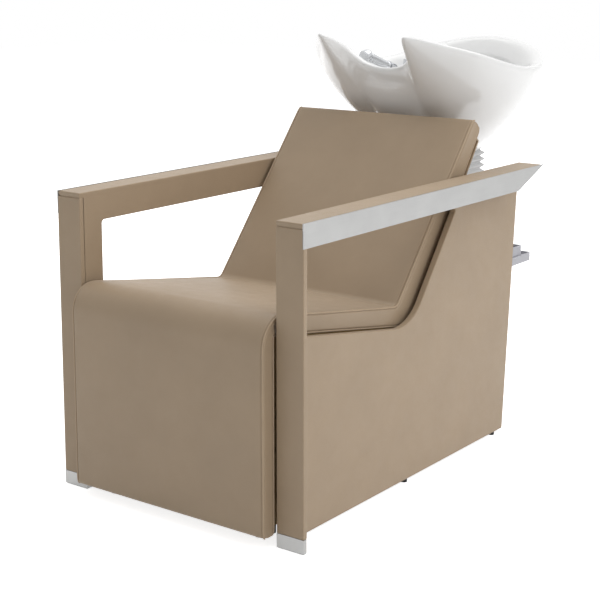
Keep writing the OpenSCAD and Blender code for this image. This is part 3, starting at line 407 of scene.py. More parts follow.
def leather_material(name, base, grain=1.0):
    s = Shader(name, base, 0.47, Specular_IOR_Level=0.36, Sheen_Weight=0.06,
               Sheen_Roughness=0.45)
    # Pebbled grain of about a millimetre, broken up by a finer crease pattern
    pebbles = s.cells(900.0 / grain)
    creases = s.noise(420.0 / grain, 4.0, 0.6)
    cloud = s.noise(7.0, 4.0, 0.55)
    patch = s.noise(38.0, 3.0, 0.6)
    tone = s.ramp(cloud, [(0.30, shade(base, 0.955)), (0.70, shade(base, 1.04))])
    tone = s.mix(s.remap(patch, 0.35, 0.65, 0.0, 0.10), tone, shade(base, 0.90))
    # The hollows between the pebbles are darkened towards 0.72 of the base: painted shade in the
    # grain
    valley = s.remap(pebbles, 0.0, 0.10, 0.14, 0.0)
    s.set("Base Color", s.mix(valley, tone, shade(base, 0.72)))
    s.set("Roughness", s.remap(s.math("ADD", patch, creases), 0.7, 1.3, 0.41, 0.54))
    low = s.bump(s.remap(pebbles, 0.0, 0.16, 0.0, 1.0), 0.24, 0.00012)
    s.set("Normal", s.bump(creases, 0.16, 0.00016, low))
    return s.material


def ply_material(name):
    base = colour(206, 176, 128)
    s = Shader(name, base, 0.62)
    grain = s.noise(30.0, 6.0, 0.65, s.stretch((1.0, 0.12, 1.0)))
    s.tint(grain, 0.78, 1.06)
    layers = s.add("ShaderNodeTexWave", bands_direction="X")
    layers.inputs["Scale"].default_value = 110.0
    layers.inputs["Distortion"].default_value = 0.6
    s.link(s.coord, layers.inputs["Vector"])
    s.set("Normal", s.bump(s.math("ADD", grain, layers.outputs["Fac"]), 0.12, 0.0002))
    return s.material


def satin_aluminium(name):
    base = (0.37, 0.37, 0.366, 1.0)
    s = Shader(name, base, 0.36, 1.0)
    lines = s.noise(900.0, 3.0, 0.6, s.stretch((1.0, 0.012, 1.0)))
    fleck = s.noise(16.0, 3.0, 0.5)
    s.tint(fleck, 0.97, 1.03)
    s.set("Roughness", s.remap(lines, 0.3, 0.7, 0.30, 0.42))
    s.set("Normal", s.bump(lines, 0.10, 0.00004))
    return s.material


def plastic(name, base, rough, texture=1.0, spec=0.45):
    s = Shader(name, base, rough, Specular_IOR_Level=spec)
    spark = s.cells(2200.0, "F1")
    cloud = s.noise(11.0, 3.0, 0.5)
    s.tint(cloud, 0.97, 1.025)
    s.set("Roughness", s.remap(s.noise(60.0), 0.3, 0.7, rough - 0.04, rough + 0.05))
    s.set("Normal", s.bump(spark, 0.10 * texture, 0.00008))
    return s.material


def powder_coat(name, base):
    s = Shader(name, base, 0.5)
    peel = s.noise(650.0, 2.0, 0.5)
    s.set("Roughness", s.remap(peel, 0.3, 0.7, 0.44, 0.56))
    s.tint(s.noise(14.0), 0.9, 1.1)
    s.set("Normal", s.bump(peel, 0.2, 0.0001))
    return s.material


def bare_metal(name, base, rough, wave=0.03):
    s = Shader(name, base, rough, 1.0)
    smear = s.noise(26.0, 3.0, 0.55)
    s.set("Roughness", s.remap(smear, 0.3, 0.7, max(0.02, rough - wave), rough + wave))
    s.tint(s.noise(9.0), 0.97, 1.02)
    return s.material


def glaze(name):
    base = (0.79, 0.79, 0.785, 1.0)
    s = Shader(name, base, 0.16, Specular_IOR_Level=0.4, Coat_Weight=0.35, Coat_Roughness=0.04,
               Coat_IOR=1.5)
    pool = s.noise(5.0, 3.0, 0.5)
    s.tint(pool, 0.985, 1.012)
    s.set("Roughness", s.remap(s.noise(30.0), 0.3, 0.7, 0.13, 0.20))
    s.set("Normal", s.bump(s.noise(22.0, 2.0, 0.4), 0.05, 0.0006))
    return s.material


def braid(name):
    base = (0.55, 0.55, 0.56, 1.0)
    s = Shader(name, base, 0.32, 0.9)
    weave = s.cells(1100.0, "F1", s.stretch((1.0, 1.0, 0.55)))
    # Lighter on each strand's crown and much darker between strands: painted highlight and painted
    # shade
    s.set("Base Color", s.ramp(weave, [(0.05, shade(base, 1.15)), (0.6, shade(base, 0.35))]))
    s.set("Normal", s.bump(weave, 0.7, 0.0004))
    return s.material


LEATHER = colour(163, 143, 119)
materials = {
    "leather": leather_material("tan_leather", LEATHER),
    "covered_board": leather_material("board_leather", LEATHER),
    # The piping is the same leather tinted 1.14 times lighter: a painted highlight along its tubes
    "piping": leather_material("piping_leather_painted_highlight", shade(LEATHER, 1.14), 0.7),
    "plywood": ply_material("birch_ply"),
    "aluminium_trim": satin_aluminium("satin_aluminium"),
    "black_rubber": plastic("black_rubber", (0.018, 0.018, 0.018, 1.0), 0.62, 2.0, 0.3),
    "frame_steel": powder_coat("black_coat", (0.022, 0.022, 0.024, 1.0)),
    "grey_plastic": plastic("grey_plastic", colour(172, 172, 178), 0.42),
    "waste_plastic": plastic("waste_plastic", colour(158, 158, 162), 0.38, 0.5),
    "bellows_rubber": plastic("bellows_rubber", colour(203, 203, 203), 0.5, 0.7, 0.35),
    "bush_plastic": plastic("bush_plastic", colour(214, 206, 180), 0.45),
    "hose_steel": braid("steel_braid"),
    "valve_brass": bare_metal("brass", (0.60, 0.43, 0.18, 1.0), 0.28),
    "chrome": bare_metal("chrome", (0.62, 0.63, 0.65, 1.0), 0.07, 0.02),
    "glazed_white": glaze("white_glaze"),
}

for row in frame["record"]["subparts"]:
    obj = nodes[row["node"]]
    obj.data.materials.clear()
    obj.data.materials.append(materials[row["material_slot"]])


# ---------------- rigid pieces from the frame

BEVEL_ANGLE = math.radians(32.0)


def soften(node, width):
    """Breaks the edges of a CAD node with modifiers, which leave its mesh as it is."""
    obj = nodes[node]
    weld = obj.modifiers.new("Weld", "WELD")
    weld.merge_threshold = 1e-5
    bevel = obj.modifiers.new("Bevel", "BEVEL")
    bevel.width = width * MM
    bevel.segments = 2
    bevel.limit_method = "ANGLE"
    bevel.angle_limit = BEVEL_ANGLE
    bevel.miter_outer = "MITER_ARC"
    normal = obj.modifiers.new("Normals", "WEIGHTED_NORMAL")
    normal.keep_sharp = False
    normal.weight = 100


SOFT_EDGES = {
    0.4: "shoe_pads",
    0.5: "arm_beam_left arm_beam_right arm_strip_left arm_strip_right door_screws pivot_pins "
         "waste_outlet waste_tail",
    0.6: "former_left former_right front_board seat_board back_board arm_lining_left "
         "arm_lining_right waste_flange mixer_spindle inlet_valves",
    0.7: "shoe_left shoe_right levelling_feet rear_glides",
    0.8: "column cleats_left cleats_right column_cover shelf_holder pivot_bracket basin_saddle "
         "mixer_body",
    0.9: "access_door shower_sleeve",
    1.0: "back_lining rear_shelf",
    1.2: "base_frame",
    1.8: "deck_board rear_panel",
}
for width, names in SOFT_EDGES.items():
    for name in names.split():
        soften(name, width)


# ---------------- cushions

def seat_z(y):
    """Height of the seat's face line, before its crown."""
    return SEAT_H - math.tan(SEAT_SLOPE) * (y - SEAT_FLAT_Y)


fold = vec(FOLD_Y, seat_z(FOLD_Y))
back_up = vec(math.sin(BACK_RECLINE), math.cos(BACK_RECLINE))
back_behind = vec(math.cos(BACK_RECLINE), -math.sin(BACK_RECLINE))
seat_along = vec(math.cos(SEAT_SLOPE), -math.sin(SEAT_SLOPE))
back_thin = (BACK_LOW_T - BACK_TOP_T) / BACK_LEN


def on_back(s, d):
    return fold + back_up * s + back_behind * d


def rear_of_back(s):
    return on_back(s, BACK_LOW_T - s * back_thin)


def seat_under(y):
    return vec(y, seat_z(y) - SEAT_T / math.cos(SEAT_SLOPE))


rear_along = rear_of_back(1.0) - rear_of_back(0.0)
inner_corner = meet(seat_under(0.0), seat_along, rear_of_back(0.0), rear_along)
fold_line = unit(inner_corner - fold)
fold_side = vec(fold_line[1], -fold_line[0])

# Soft fillet between the seat and the back, halved at the fold line
FILLET = 24.0
fillet = corner(fold - seat_along * 200, fold, fold + back_up * 200, FILLET, 12)
EDGE_R = 6.5
SEAM_GAP = 0.02
LOW_R = 8.0
BACK_TOP_R = 9.0
BACK_REAR_R = 14.0


def cushion_paths(kind):
    """Face line and hidden line of a cushion, as points in Y and Z, with equal counts."""
    if kind == "seat":
        low_mid = vec(FRONT_Y + FRONT_T / 2, SEAT_LOW)
        a, f = vec(FRONT_Y, SEAT_LOW), vec(FRONT_Y + FRONT_T, SEAT_LOW)
        top = vec(FRONT_Y, seat_z(FRONT_Y))
        e = vec(FRONT_Y + FRONT_T, seat_under(FRONT_Y + FRONT_T)[1])
        front_low = corner(low_mid, a, top, LOW_R, 6)
        rear_low = corner(low_mid, f, e, LOW_R, 6)
        bend = corner(a, top, fold, FRONT_R, 16)
        last = inner_corner + fold_side * SEAM_GAP
        shift = fold_side * SEAM_GAP
        under_mid = meet(seat_under(0.0), seat_along, fillet[0], fold_line)
        face = legs(leg([low_mid, *front_low], 7), leg([front_low[-1], bend[0]], 46),
                    leg(bend, 14), leg([bend[-1], fillet[0]], 50),
                    leg([q + shift for q in fillet[:7]], 6))
        hidden = legs(leg([low_mid, *rear_low], 7), leg([rear_low[-1], e - vec(0, LOW_R)], 46),
                      leg([e - vec(0, LOW_R), e, e + seat_along * LOW_R], 14),
                      leg([e + seat_along * LOW_R, under_mid], 50),
                      leg([under_mid, last], 6))
        return face[1:], hidden[1:]
    shift = -fold_side * SEAM_GAP
    top_front, top_rear = on_back(BACK_LEN, 0.0), on_back(BACK_LEN, BACK_TOP_T)
    top_mid = (top_front + top_rear) / 2
    front_top = corner(fold, top_front, top_rear, BACK_TOP_R, 6)
    rear_top = corner(rear_of_back(0.0), top_rear, top_front, BACK_REAR_R, 6)
    under_mid = rear_of_back(float((fillet[-1] - fold) @ back_up))
    face = legs(leg([q + shift for q in fillet[6:]], 6), leg([fillet[-1], front_top[0]], 52),
                leg([*front_top, top_mid], 8))
    hidden = legs(leg([inner_corner + shift, under_mid], 6), leg([under_mid, rear_top[0]], 52),
                  leg([*rear_top, top_mid], 8))
    return face[:-1], hidden[:-1]


# Columns of a cushion's face, closer together by the seams
across = np.unique(np.concatenate([np.linspace(-1, 1, 57), [-0.985, -0.965, 0.965, 0.985]]))[1:-1]
ARC_STEPS = 6
SIDE_STEPS = 4
SEAM_DEPTH = 2.3
DRAW_IN = 1.5


def cushion_ring(p, q, half):
    """One section: the face from -X to +X, down the side, back along the hidden face, and up."""
    thick = float(np.linalg.norm(q - p))
    down = (q - p) / thick
    r = min(EDGE_R, thick * 0.49)
    w = half - EDGE_R + math.sqrt(max(0.0, EDGE_R ** 2 - (EDGE_R - min(thick / 2, EDGE_R)) ** 2))
    flat = w - r
    pts = []

    def arc(x0, t0, a0, seam):
        for k in range(ARC_STEPS + 1):
            a = math.radians(a0 - 90.0 * k / ARC_STEPS)
            dip = seam * SEAM_DEPTH * math.sin(math.pi * k / ARC_STEPS) ** 0.8
            rr = r - min(dip, r * 0.4)
            pts.append((x0 + rr * math.cos(a), t0 - rr * math.sin(a)))

    def pull(k):
        return DRAW_IN * min(1.0, thick / 40) * math.sin(math.pi * k / SIDE_STEPS)

    arc(-flat, r, 180.0, 1.0)
    pts.extend((flat * c, 0.0) for c in across)
    arc(flat, r, 90.0, 1.0)
    pts.extend((w - pull(k), r + (thick - 2 * r) * k / SIDE_STEPS) for k in range(1, SIDE_STEPS))
    arc(flat, thick - r, 0.0, 1.0)
    pts.extend((flat * c, thick) for c in across[::-1])
    arc(-flat, thick - r, -90.0, 1.0)
    pts.extend((pull(k) - w, thick - r - (thick - 2 * r) * k / SIDE_STEPS)
               for k in range(1, SIDE_STEPS))
    return [(x, p[0] + down[0] * t, p[1] + down[1] * t) for x, t in pts]


RING = 4 * (ARC_STEPS + 1) + 2 * len(across) + 2 * (SIDE_STEPS - 1)
FACE_SEAM_LEFT = ARC_STEPS // 2
FACE_SEAM_RIGHT = ARC_STEPS + 1 + len(across) + ARC_STEPS // 2
REAR_SEAM_RIGHT = FACE_SEAM_RIGHT + ARC_STEPS + SIDE_STEPS
REAR_SEAM_LEFT = REAR_SEAM_RIGHT + ARC_STEPS + 1 + len(across)


WIDE_UNTIL = 30.0


def share(value, low, high):
    """How far value lies between low and high, from 0 to 1."""
    return float(np.clip((value - low) / (high - low), 0, 1))


def half_width(kind, y):
    """The seat's front hangs before the posts, and is a little wider there."""
    if kind == "back":
        return SEAT_HALF
    return SEAT_HALF + (FRONT_HALF - SEAT_HALF) * share(WIDE_UNTIL - y, 0.0, WIDE_UNTIL)


CLOTH_FRAMES = 20
CLOTH = {"quality": 4, "mass": 0.3, "tension_stiffness": 8.0, "compression_stiffness": 8.0,
         "shear_stiffness": 4.0, "bending_stiffness": 1.5, "use_pressure": True,
         "uniform_pressure_force": 4.0, "vertex_group_mass": "held"}


def inflate(obj, held):
    """Each point's start, and its movement as cloth under pressure with the held points fixed."""
    count = len(obj.data.vertices)
    start = np.zeros(count * 3)
    obj.data.vertices.foreach_get("co", start)
    start = start.reshape(-1, 3)
    group = obj.vertex_groups.new(name="held")
    group.add([int(i) for i in np.nonzero(held)[0]], 1.0, "REPLACE")
    cloth = obj.modifiers.new("Cloth", "CLOTH")
    for key, value in CLOTH.items():
        setattr(cloth.settings, key, value)
    cloth.settings.effector_weights.gravity = 0.0
    cloth.collision_settings.use_collision = False
    cloth.collision_settings.use_self_collision = False
    cloth.point_cache.frame_start = 1
    cloth.point_cache.frame_end = CLOTH_FRAMES
    for f in range(1, CLOTH_FRAMES + 1):
        scene.frame_set(f)
    done = obj.evaluated_get(bpy.context.evaluated_depsgraph_get())
    final = np.zeros(count * 3)
    done.data.vertices.foreach_get("co", final)
    move = final.reshape(-1, 3) - start
    obj.modifiers.remove(cloth)
    scene.frame_set(1)
    return start, move


SETTLE_ROUNDS = 8


def settle(obj, start, move, rise, rings):
    """Keeps the outward part of the movement, smooths it, caps it and applies it to the mesh."""
    normal = normals(obj)
    grid = np.clip((move * normal).sum(1), 0, None).reshape(rings, RING)
    for _ in range(SETTLE_ROUNDS):
        inner = grid.copy()
        inner[1:-1] = (grid[:-2] + 2 * grid[1:-1] + grid[2:]) / 4
        grid = (np.roll(inner, 1, axis=1) + 2 * inner + np.roll(inner, -1, axis=1)) / 4
    room = rise.reshape(grid.shape)
    grid *= rise.max() / max(np.percentile(grid[room > 0], 90), 1e-6)
    amount = room * np.tanh(grid / np.maximum(room, 1e-6))
    obj.data.vertices.foreach_set("co", (start + normal * amount.reshape(-1, 1)).ravel())
    obj.data.update()


# Lengths over which the crown dies out towards an edge and towards the fold
RISE_EDGE = 60.0
RISE_FOLD = 90.0


def sharp_ring(obj, ring):
    """Keeps the outline at the fold crisp, so that seat and back meet without a groove."""
    mesh = obj.data
    inside = range(ring * RING, (ring + 1) * RING)
    crease = mesh.attributes.new("crease_edge", "FLOAT", "EDGE")
    sharp = mesh.attributes.new("sharp_edge", "BOOLEAN", "EDGE")
    for edge in mesh.edges:
        if edge.vertices[0] in inside and edge.vertices[1] in inside:
            crease.data[edge.index].value = 1.0
            sharp.data[edge.index].value = True


def cushion(kind, replaced, crown_top, crown_front):
    """Cushion with its face crowned by the given heights, and its number of rings."""
    face, hidden = cushion_paths(kind)
    rings = [cushion_ring(p, q, half_width(kind, p[0])) for p, q in zip(face, hidden)]
    n = len(rings)
    points = metres(np.vstack([np.array(r) for r in rings]))
    obj = mesh_object(f"{kind}_pad", points, ring_faces(n, RING) + caps(n, RING), "leather")
    sharp_ring(obj, n - 1 if kind == "seat" else 0)

    # How far each point may rise, and which points the seams and boards hold
    rise = np.zeros((n, RING))
    held = np.ones((n, RING), bool)
    columns = range(ARC_STEPS + 1, ARC_STEPS + 1 + len(across))
    run = np.r_[0, np.cumsum(np.linalg.norm(np.diff(face, axis=0), axis=1))]
    for k in range(n):
        if kind == "seat":
            front = share(seat_z(FRONT_Y) - RISE_EDGE - face[k][1], 0, RISE_EDGE)
            ends = min(1.0, run[k] / RISE_EDGE) * min(1.0, (run[-1] - run[k]) / RISE_FOLD)
            limit = (crown_top * (1 - front) + crown_front * front) * ends
        else:
            ends = min(1.0, run[k] / RISE_FOLD) * min(1.0, (run[-1] - run[k]) / RISE_EDGE)
            limit = crown_top * ends
        for i in columns:
            c = across[i - ARC_STEPS - 1]
            rise[k, i] = limit * (1 - abs(c) ** 6)
            held[k, i] = limit <= 0.01
    rise = rise.ravel() * MM
    start, move = inflate(obj, held.ravel())
    settle(obj, start, move, rise, n)
    subdivide(obj)
    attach(obj, "root")
    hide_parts(replaced)
    return obj, n


def seam_path(obj, ring_index, first, last, lift):
    """Points along one seam of a cushion, moved out from the middle of the pad."""
    mesh = obj.data
    pts = np.array([mesh.vertices[k * RING + ring_index].co for k in range(first, last)])
    nrm = np.array([mesh.vertices[k * RING + ring_index].normal for k in range(first, last)])
    path = pts + nrm * lift
    for _ in range(2):
        path[1:-1] = (path[:-2] + 2 * path[1:-1] + path[2:]) / 4
    return path


PIPE_R = 0.0021
PIPE_LIFT = 0.0017
CROWN = 7.0
FRONT_CROWN = 4.0
seat, seat_rings = cushion("seat", "seat_cushion", CROWN, FRONT_CROWN)
back, back_rings = cushion("back", "back_cushion", CROWN, CROWN)
for tag, index, rear in (("left", FACE_SEAM_LEFT, REAR_SEAM_LEFT),
                         ("right", FACE_SEAM_RIGHT, REAR_SEAM_RIGHT)):
    for name, pad, seam, first, last in (
            ("seat_piping", seat, index, 3, seat_rings),
            ("seat_lower_piping", seat, rear, 3, seat_rings),
            ("back_piping", back, index, 0, back_rings - 3),
            ("back_rear_piping", back, rear, 0, back_rings - 3)):
        ends = (first > 0, last < (seat_rings if pad is seat else back_rings))
        pipe = tube(f"{name}_{tag}", seam_path(pad, seam, first, last, PIPE_LIFT), PIPE_R,
                    "piping", ends)
        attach(pipe, "root")


# ---------------- covered boards

ROUND_STEPS = 4


def plate(name, x0, x1, outer, holes, r, slot):
    """Board between two X planes, from outlines in Y and Z, with its edges rounded by r."""
    loops = []
    for line, sign in [(outer, 1.0)] + [(h, -1.0) for h in holes]:
        p = np.array(line, float)
        area = 0.5 * np.sum(p[:, 0] * np.roll(p[:, 1], -1) - np.roll(p[:, 0], -1) * p[:, 1])
        if area < 0:
            p = p[::-1]
        # Unit normals out of the board, mitred at the corners
        e = np.roll(p, -1, axis=0) - p
        e /= np.linalg.norm(e, axis=1)[:, None]
        n1 = np.stack([e[:, 1], -e[:, 0]], axis=1)
        n0 = np.roll(n1, 1, axis=0)
        m = n0 + n1
        m /= np.linalg.norm(m, axis=1)[:, None]
        m /= np.clip((m * n1).sum(1), 0.35, 1)[:, None]
        loops.append((p, m * sign))
    # Each level is a plane across X and the outline's inset there
    quarter = [(r * (1 - math.cos(a)), r * (1 - math.sin(a)))
               for a in np.linspace(0, math.pi / 2, ROUND_STEPS + 1)]
    levels = [(x0 + d, inset) for d, inset in quarter]
    levels += [(x1 - d, inset) for d, inset in quarter[::-1]]
    points, faces, firsts = [], [], []
    for p, m in loops:
        start = len(points)
        firsts.append(start)
        n = len(p)
        for x, inset in levels:
            q = p - m * inset
            points += [(x, a, b) for a, b in q]
        for quad in ring_faces(len(levels), n):
            quad = [start + i for i in quad]
            faces.append(quad if m is loops[0][1] else quad[::-1])
    for level, turn in ((0, True), (len(levels) - 1, False)):
        flat, index = [], []
        for (p, m), start in zip(loops, firsts):
            n = len(p)
            ids = [start + level * n + i for i in range(n)]
            flat.append([Vector((points[i][1], points[i][2], 0)) for i in ids])
            index += ids
        for tri in tessellate_polygon(flat):
            a, b, c = (np.array(points[index[i]][1:]) for i in tri)
            up = cross2(b - a, c - a) > 0
            ids = [index[i] for i in tri]
            faces.append(ids if up != turn else ids[::-1])
    obj = mesh_object(name, metres(points), faces, slot)
    normal = obj.modifiers.new("Normals", "WEIGHTED_NORMAL")
    normal.weight = 100
    return obj


def side_rear(z):
    return SIDE_LOW_LEN + (z - BOARD_GAP) * math.tan(SIDE_RAKE)


EDGE_SOFT = 2.2
BOARD_TOP = ARM_H - ARM_TOP_T
ARM_INNER_Z = ARM_H - ARM_W
OPENING_DROP = 43.5
OPENING_REACH = 57.5
opening_up = vec(math.sin(OPENING_RECLINE), math.cos(OPENING_RECLINE))
opening_low = vec(0.0, seat_z(0.0) - OPENING_DROP)
opening_start = fold + vec(OPENING_REACH, 0.0)
opening = rounded([
    meet(opening_low, seat_along, vec(ARM_W, 0), vec(0, 1)),
    vec(ARM_W, ARM_INNER_Z),
    meet(opening_start, opening_up, vec(0, ARM_INNER_Z), vec(1, 0)),
    meet(opening_low, seat_along, opening_start, opening_up),
], [4, 8, 6, 110], 10)
side_outline = rounded([
    vec(POST_T + 0.2, BOARD_GAP), vec(POST_T + 0.2, BOARD_TOP + EDGE_SOFT),
    vec(side_rear(BOARD_TOP), BOARD_TOP + EDGE_SOFT), vec(side_rear(BOARD_GAP), BOARD_GAP),
], [1.5, 0.8, 3, 3], 4)


def mirrored(x0, x1, side):
    return (x0, x1) if side > 0 else (-x1, -x0)


def rounded_box(name, x0, x1, y0, y1, z0, z1, r, slot, side):
    """Slab with rounded edges, cut as a plate across X."""
    a, b = mirrored(x0, x1, side)
    line = rounded([vec(y0, z0), vec(y0, z1), vec(y1, z1), vec(y1, z0)], [r] * 4, 4)
    return plate(name, a, b, line, [], r, slot)


LIP_TUCK = 2.2
LIP_START = 2.5
FRONT_ROLL = 2.6
TAIL_ROLL = 3.0
TAIL_DRAW = 2.5


def roll_in(part):
    """Quarter circle from 1 at the end of the pad, where part is 0, to 0."""
    return 1 - math.sqrt(1 - (1 - part) ** 2)


def arm_pad(name, side):
    """Padded arm top: a flat top across, rounded edges, a rolled front and a slanted tail."""
    x0, x1 = BOARD_IN, HALF_W - STRIP_T
    slope = (ARM_LEN - ARM_LOW_LEN) / STRIP_H
    mid, half = (x0 + x1) / 2, (x1 - x0) / 2
    r, r_in, flat_r = 4.5, 2.2, 0.4

    def arc(x, rad, a0, a1):
        return [(x + rad * math.cos(a), ARM_H - rad + rad * math.sin(a))
                for a in np.radians(np.linspace(a0, a1, 6))]

    section = arc(-half + r_in, r_in, 180, 90)
    section += [(c, ARM_H) for c in np.linspace(-half + r_in, half - r, 15)[1:-1]]
    section += arc(half - r, r, 90, 0)
    for s, turns in ((1, (0, 45, 90)), (-1, (90, 45, 0))):
        section += [(s * (half - flat_r + flat_r * math.cos(a)),
                     BOARD_TOP + flat_r - flat_r * math.sin(a)) for a in np.radians(turns)]
    stations = np.concatenate([[0, .4, 1.2, 2.4, 4.0, 6.0, 9.0, 14.0], np.linspace(22, 940, 60),
                               [955, 965, 970, 973, 974.4, 975]])
    rings = []
    for y in stations:
        # Rolled ends: the section shrinks over the last few millimetres
        draw = FRONT_ROLL * roll_in(min(y, FRONT_ROLL) / FRONT_ROLL)
        draw += TAIL_DRAW * roll_in(min(ARM_LEN - y, TAIL_ROLL) / TAIL_ROLL)
        ring = []
        for x, z in section:
            zz = BOARD_TOP + (z - BOARD_TOP) * (ARM_TOP_T - draw) / ARM_TOP_T
            xx = x * (half - draw * 0.35) / half
            back_cut = slope * (ARM_H - zz) * share(y, 700, ARM_LEN) ** 4
            under = max(0.0, (ARM_H - LIP_START - zz) / (ARM_TOP_T - LIP_START))
            tuck = LIP_TUCK * under ** 1.4 * (1 - share(y, 0, 30))
            xx *= 1 - 0.06 * under ** 3 * (1 - share(y, 0, 12))
            ring.append((side * (mid + xx), y + tuck - back_cut, zz))
        rings.append(ring)
    size = len(section)
    faces = ring_faces(len(rings), size) + caps(len(rings), size)
    if side > 0:
        faces = [f[::-1] for f in faces]
    return subdivide(mesh_object(name, metres(np.vstack(rings)), faces, "leather"))


for side, tag in ((-1, "left"), (1, "right")):
    a, b = mirrored(BOARD_IN, BOARD_OUT, side)
    panel = plate(f"side_panel_{tag}", a, b, side_outline, [opening], EDGE_SOFT, "leather")
    post = rounded_box(f"post_front_{tag}", BOARD_IN, HALF_W - 0.2, 0.0,
                       POST_T + EDGE_SOFT, SHOE_H, BOARD_TOP + 0.6, EDGE_SOFT, "leather", side)
    top = arm_pad(f"arm_pad_{tag}", side)
    for piece, replaced in ((panel, "side_cover"), (post, "post_cover"), (top, "arm_top")):
        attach(piece, "root")
        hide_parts(f"{replaced}_{tag}")


# ---------------- basin

# Half lines round the basin from front to rear: its outer rim, its inner lip, and the bowl's
# edge with the tap deck (left side) and without it (right side)
RIM = [(0, 776, 890), (62, 766, 903), (96, 724, 946), (114, 660, 975), (150, 700, 968),
       (192, 752, 951), (236, 812, 934), (254, 905, 910), (256, 985, 894), (248, 1075, 887),
       (224, 1168, 894), (176, 1243, 916), (94, 1292, 937), (0, 1306, 946)]
LIP = [(0, 812, 874), (54, 804, 886), (90, 776, 922), (112, 716, 950), (136, 742, 946),
       (168, 784, 934), (204, 832, 916), (222, 910, 894), (225, 985, 879), (217, 1068, 873),
       (194, 1148, 880), (150, 1212, 901), (80, 1256, 921), (0, 1271, 929)]
DECK = [(0, 826, 858), (52, 816, 866), (88, 792, 892), (106, 760, 910), (128, 780, 905),
        (158, 812, 893), (190, 850, 876), (206, 905, 854), (178, 970, 850), (130, 1050, 850),
        (108, 1135, 850), (98, 1196, 856), (66, 1232, 880), (0, 1256, 906)]
EDGE = DECK[:6] + [(192, 850, 876), (211, 914, 862), (214, 985, 850), (207, 1062, 850),
                   (186, 1138, 850), (144, 1199, 874), (77, 1241, 896), (0, 1256, 906)]
COLUMNS = 208
LAST_U = len(RIM) - 1
BOWL_FLOOR_R = 46.0
WALL_RINGS = 10
WING_U = 3
EDGE_SCALE = 0.985


def along(line, u):
    """Smooth curve through a half line of the basin, at u from 0 to its last index."""
    p = np.array(line, float)
    flip = np.array([-1.0, 1.0, 1.0])
    p = np.vstack([p[1] * flip, p, p[-2] * flip])
    i = np.clip(np.floor(u).astype(int), 0, LAST_U - 1)
    f = (u - i)[:, None]
    a, b, c, d = p[i], p[i + 1], p[i + 2], p[i + 3]
    return (2 * b + (c - a) * f + (2 * a - 5 * b + 4 * c - d) * f ** 2
            + (3 * b - 3 * c + d - a) * f ** 3) / 2


index = np.arange(COLUMNS)
half_columns = COLUMNS // 2
col_u = LAST_U * np.where(index <= half_columns, index, COLUMNS - index) / half_columns
col_side = np.where(index <= half_columns, 1.0, -1.0)
angle = 2 * math.pi * index / COLUMNS


def round_basin(line):
    p = along(line, col_u)
    p[:, 0] *= col_side
    return p


rim_ring, lip_ring, wall_ring = round_basin(RIM), round_basin(LIP), round_basin(EDGE)
deck_ring = round_basin(DECK)
deck_share = np.where(col_side > 0, 0.0, np.clip(1.9 - np.abs(col_u - 9.4), 0, 1))
edge_ring = np.where(col_side[:, None] < 0, deck_ring, wall_ring)
edge_ring = np.stack([edge_ring[:, 0] * EDGE_SCALE,
                      PIVOT_Y + (edge_ring[:, 1] - PIVOT_Y) * EDGE_SCALE,
                      edge_ring[:, 2] - 0.5 - 6.5 * (1 - deck_share)], axis=1)
# Where the outer wall bulges (the sides and the nape), and where it stays lean (the wings)
swell = np.clip((col_u - WING_U) / 2, 0, 1)
ridge = np.cos(np.pi / 2 * np.minimum(1, np.abs(col_u - WING_U) / 2)) ** 2
nape = np.cos(np.pi / 2 * np.minimum(1, col_u / 3.2)) ** 2


def foot_ring(hw, hd, z):
    k = (np.abs(np.sin(angle)) ** 4 + np.abs(np.cos(angle)) ** 4) ** -0.25
    return np.stack([hw * k * np.sin(angle), PIVOT_Y - hd * k * np.cos(angle),
                     np.full(COLUMNS, z)], axis=1)


def drain_ring(r, z):
    return np.stack([r * np.sin(angle), PIVOT_Y - r * np.cos(angle),
                     np.full(COLUMNS, z)], axis=1)


def between(a, b, s, t):
    """Ring between two rings: the share s of the way in plan, and t in height."""
    return np.stack([a[:, 0] + (b[:, 0] - a[:, 0]) * s, a[:, 1] + (b[:, 1] - a[:, 1]) * s,
                     a[:, 2] + (b[:, 2] - a[:, 2]) * t], axis=1)


def outer_wall(t):
    s = 1 - (1 - t) ** (1 + 0.8 * swell + 0.7 * nape)
    s = s - 0.02 * ridge * math.sin(2 * math.pi * t ** 1.36)
    return between(foot_ring(FOOT_W, FOOT_D, FOOT_Z), rim_ring, s, t)


def bowl_wall(t):
    return between(drain_ring(BOWL_FLOOR_R, BOWL_Z), edge_ring,
                   1 - (1 - t) ** (1.15 + 1.35 * swell), t)


def lift(p, z):
    return p + np.array([0, 0, z])


section = ([drain_ring(24, BOWL_Z - 3.0), drain_ring(27, BOWL_Z - 0.6), drain_ring(34, BOWL_Z)]
           + [bowl_wall(k / 9) for k in range(10)]
           + [wall_ring, lip_ring, lift(lip_ring * 0.7 + rim_ring * 0.3, 7),
              lift(lip_ring * 0.35 + rim_ring * 0.65, 6)]
           + [outer_wall(k / 9) for k in reversed(range(WALL_RINGS))])
section = np.array(section)


def fine(lines, steps):
    """Catmull-Rom through the rings of each column, with steps points in each gap."""
    p = np.concatenate([2 * lines[:1] - lines[1:2], lines, 2 * lines[-1:] - lines[-2:-1]])
    out = []
    for i in range(len(lines) - 1):
        a, b, c, d = p[i], p[i + 1], p[i + 2], p[i + 3]
        ka = np.linalg.norm(b - a, axis=1)[:, None] ** 0.5 + 1e-6
        kb = np.linalg.norm(c - b, axis=1)[:, None] ** 0.5 + 1e-6
        kc = np.linalg.norm(d - c, axis=1)[:, None] ** 0.5 + 1e-6
        m1 = c - b + kb * ((b - a) / ka - (c - a) / (ka + kb))
        m2 = c - b + kb * ((d - c) / kc - (d - b) / (kb + kc))
        for k in range(steps):
            f = k / steps
            out.append((2 * f ** 3 - 3 * f ** 2 + 1) * b + (f ** 3 - 2 * f ** 2 + f) * m1
                       + (-2 * f ** 3 + 3 * f ** 2) * c + (f ** 3 - f ** 2) * m2)
    out.append(lines[-1])
    return np.array(out)


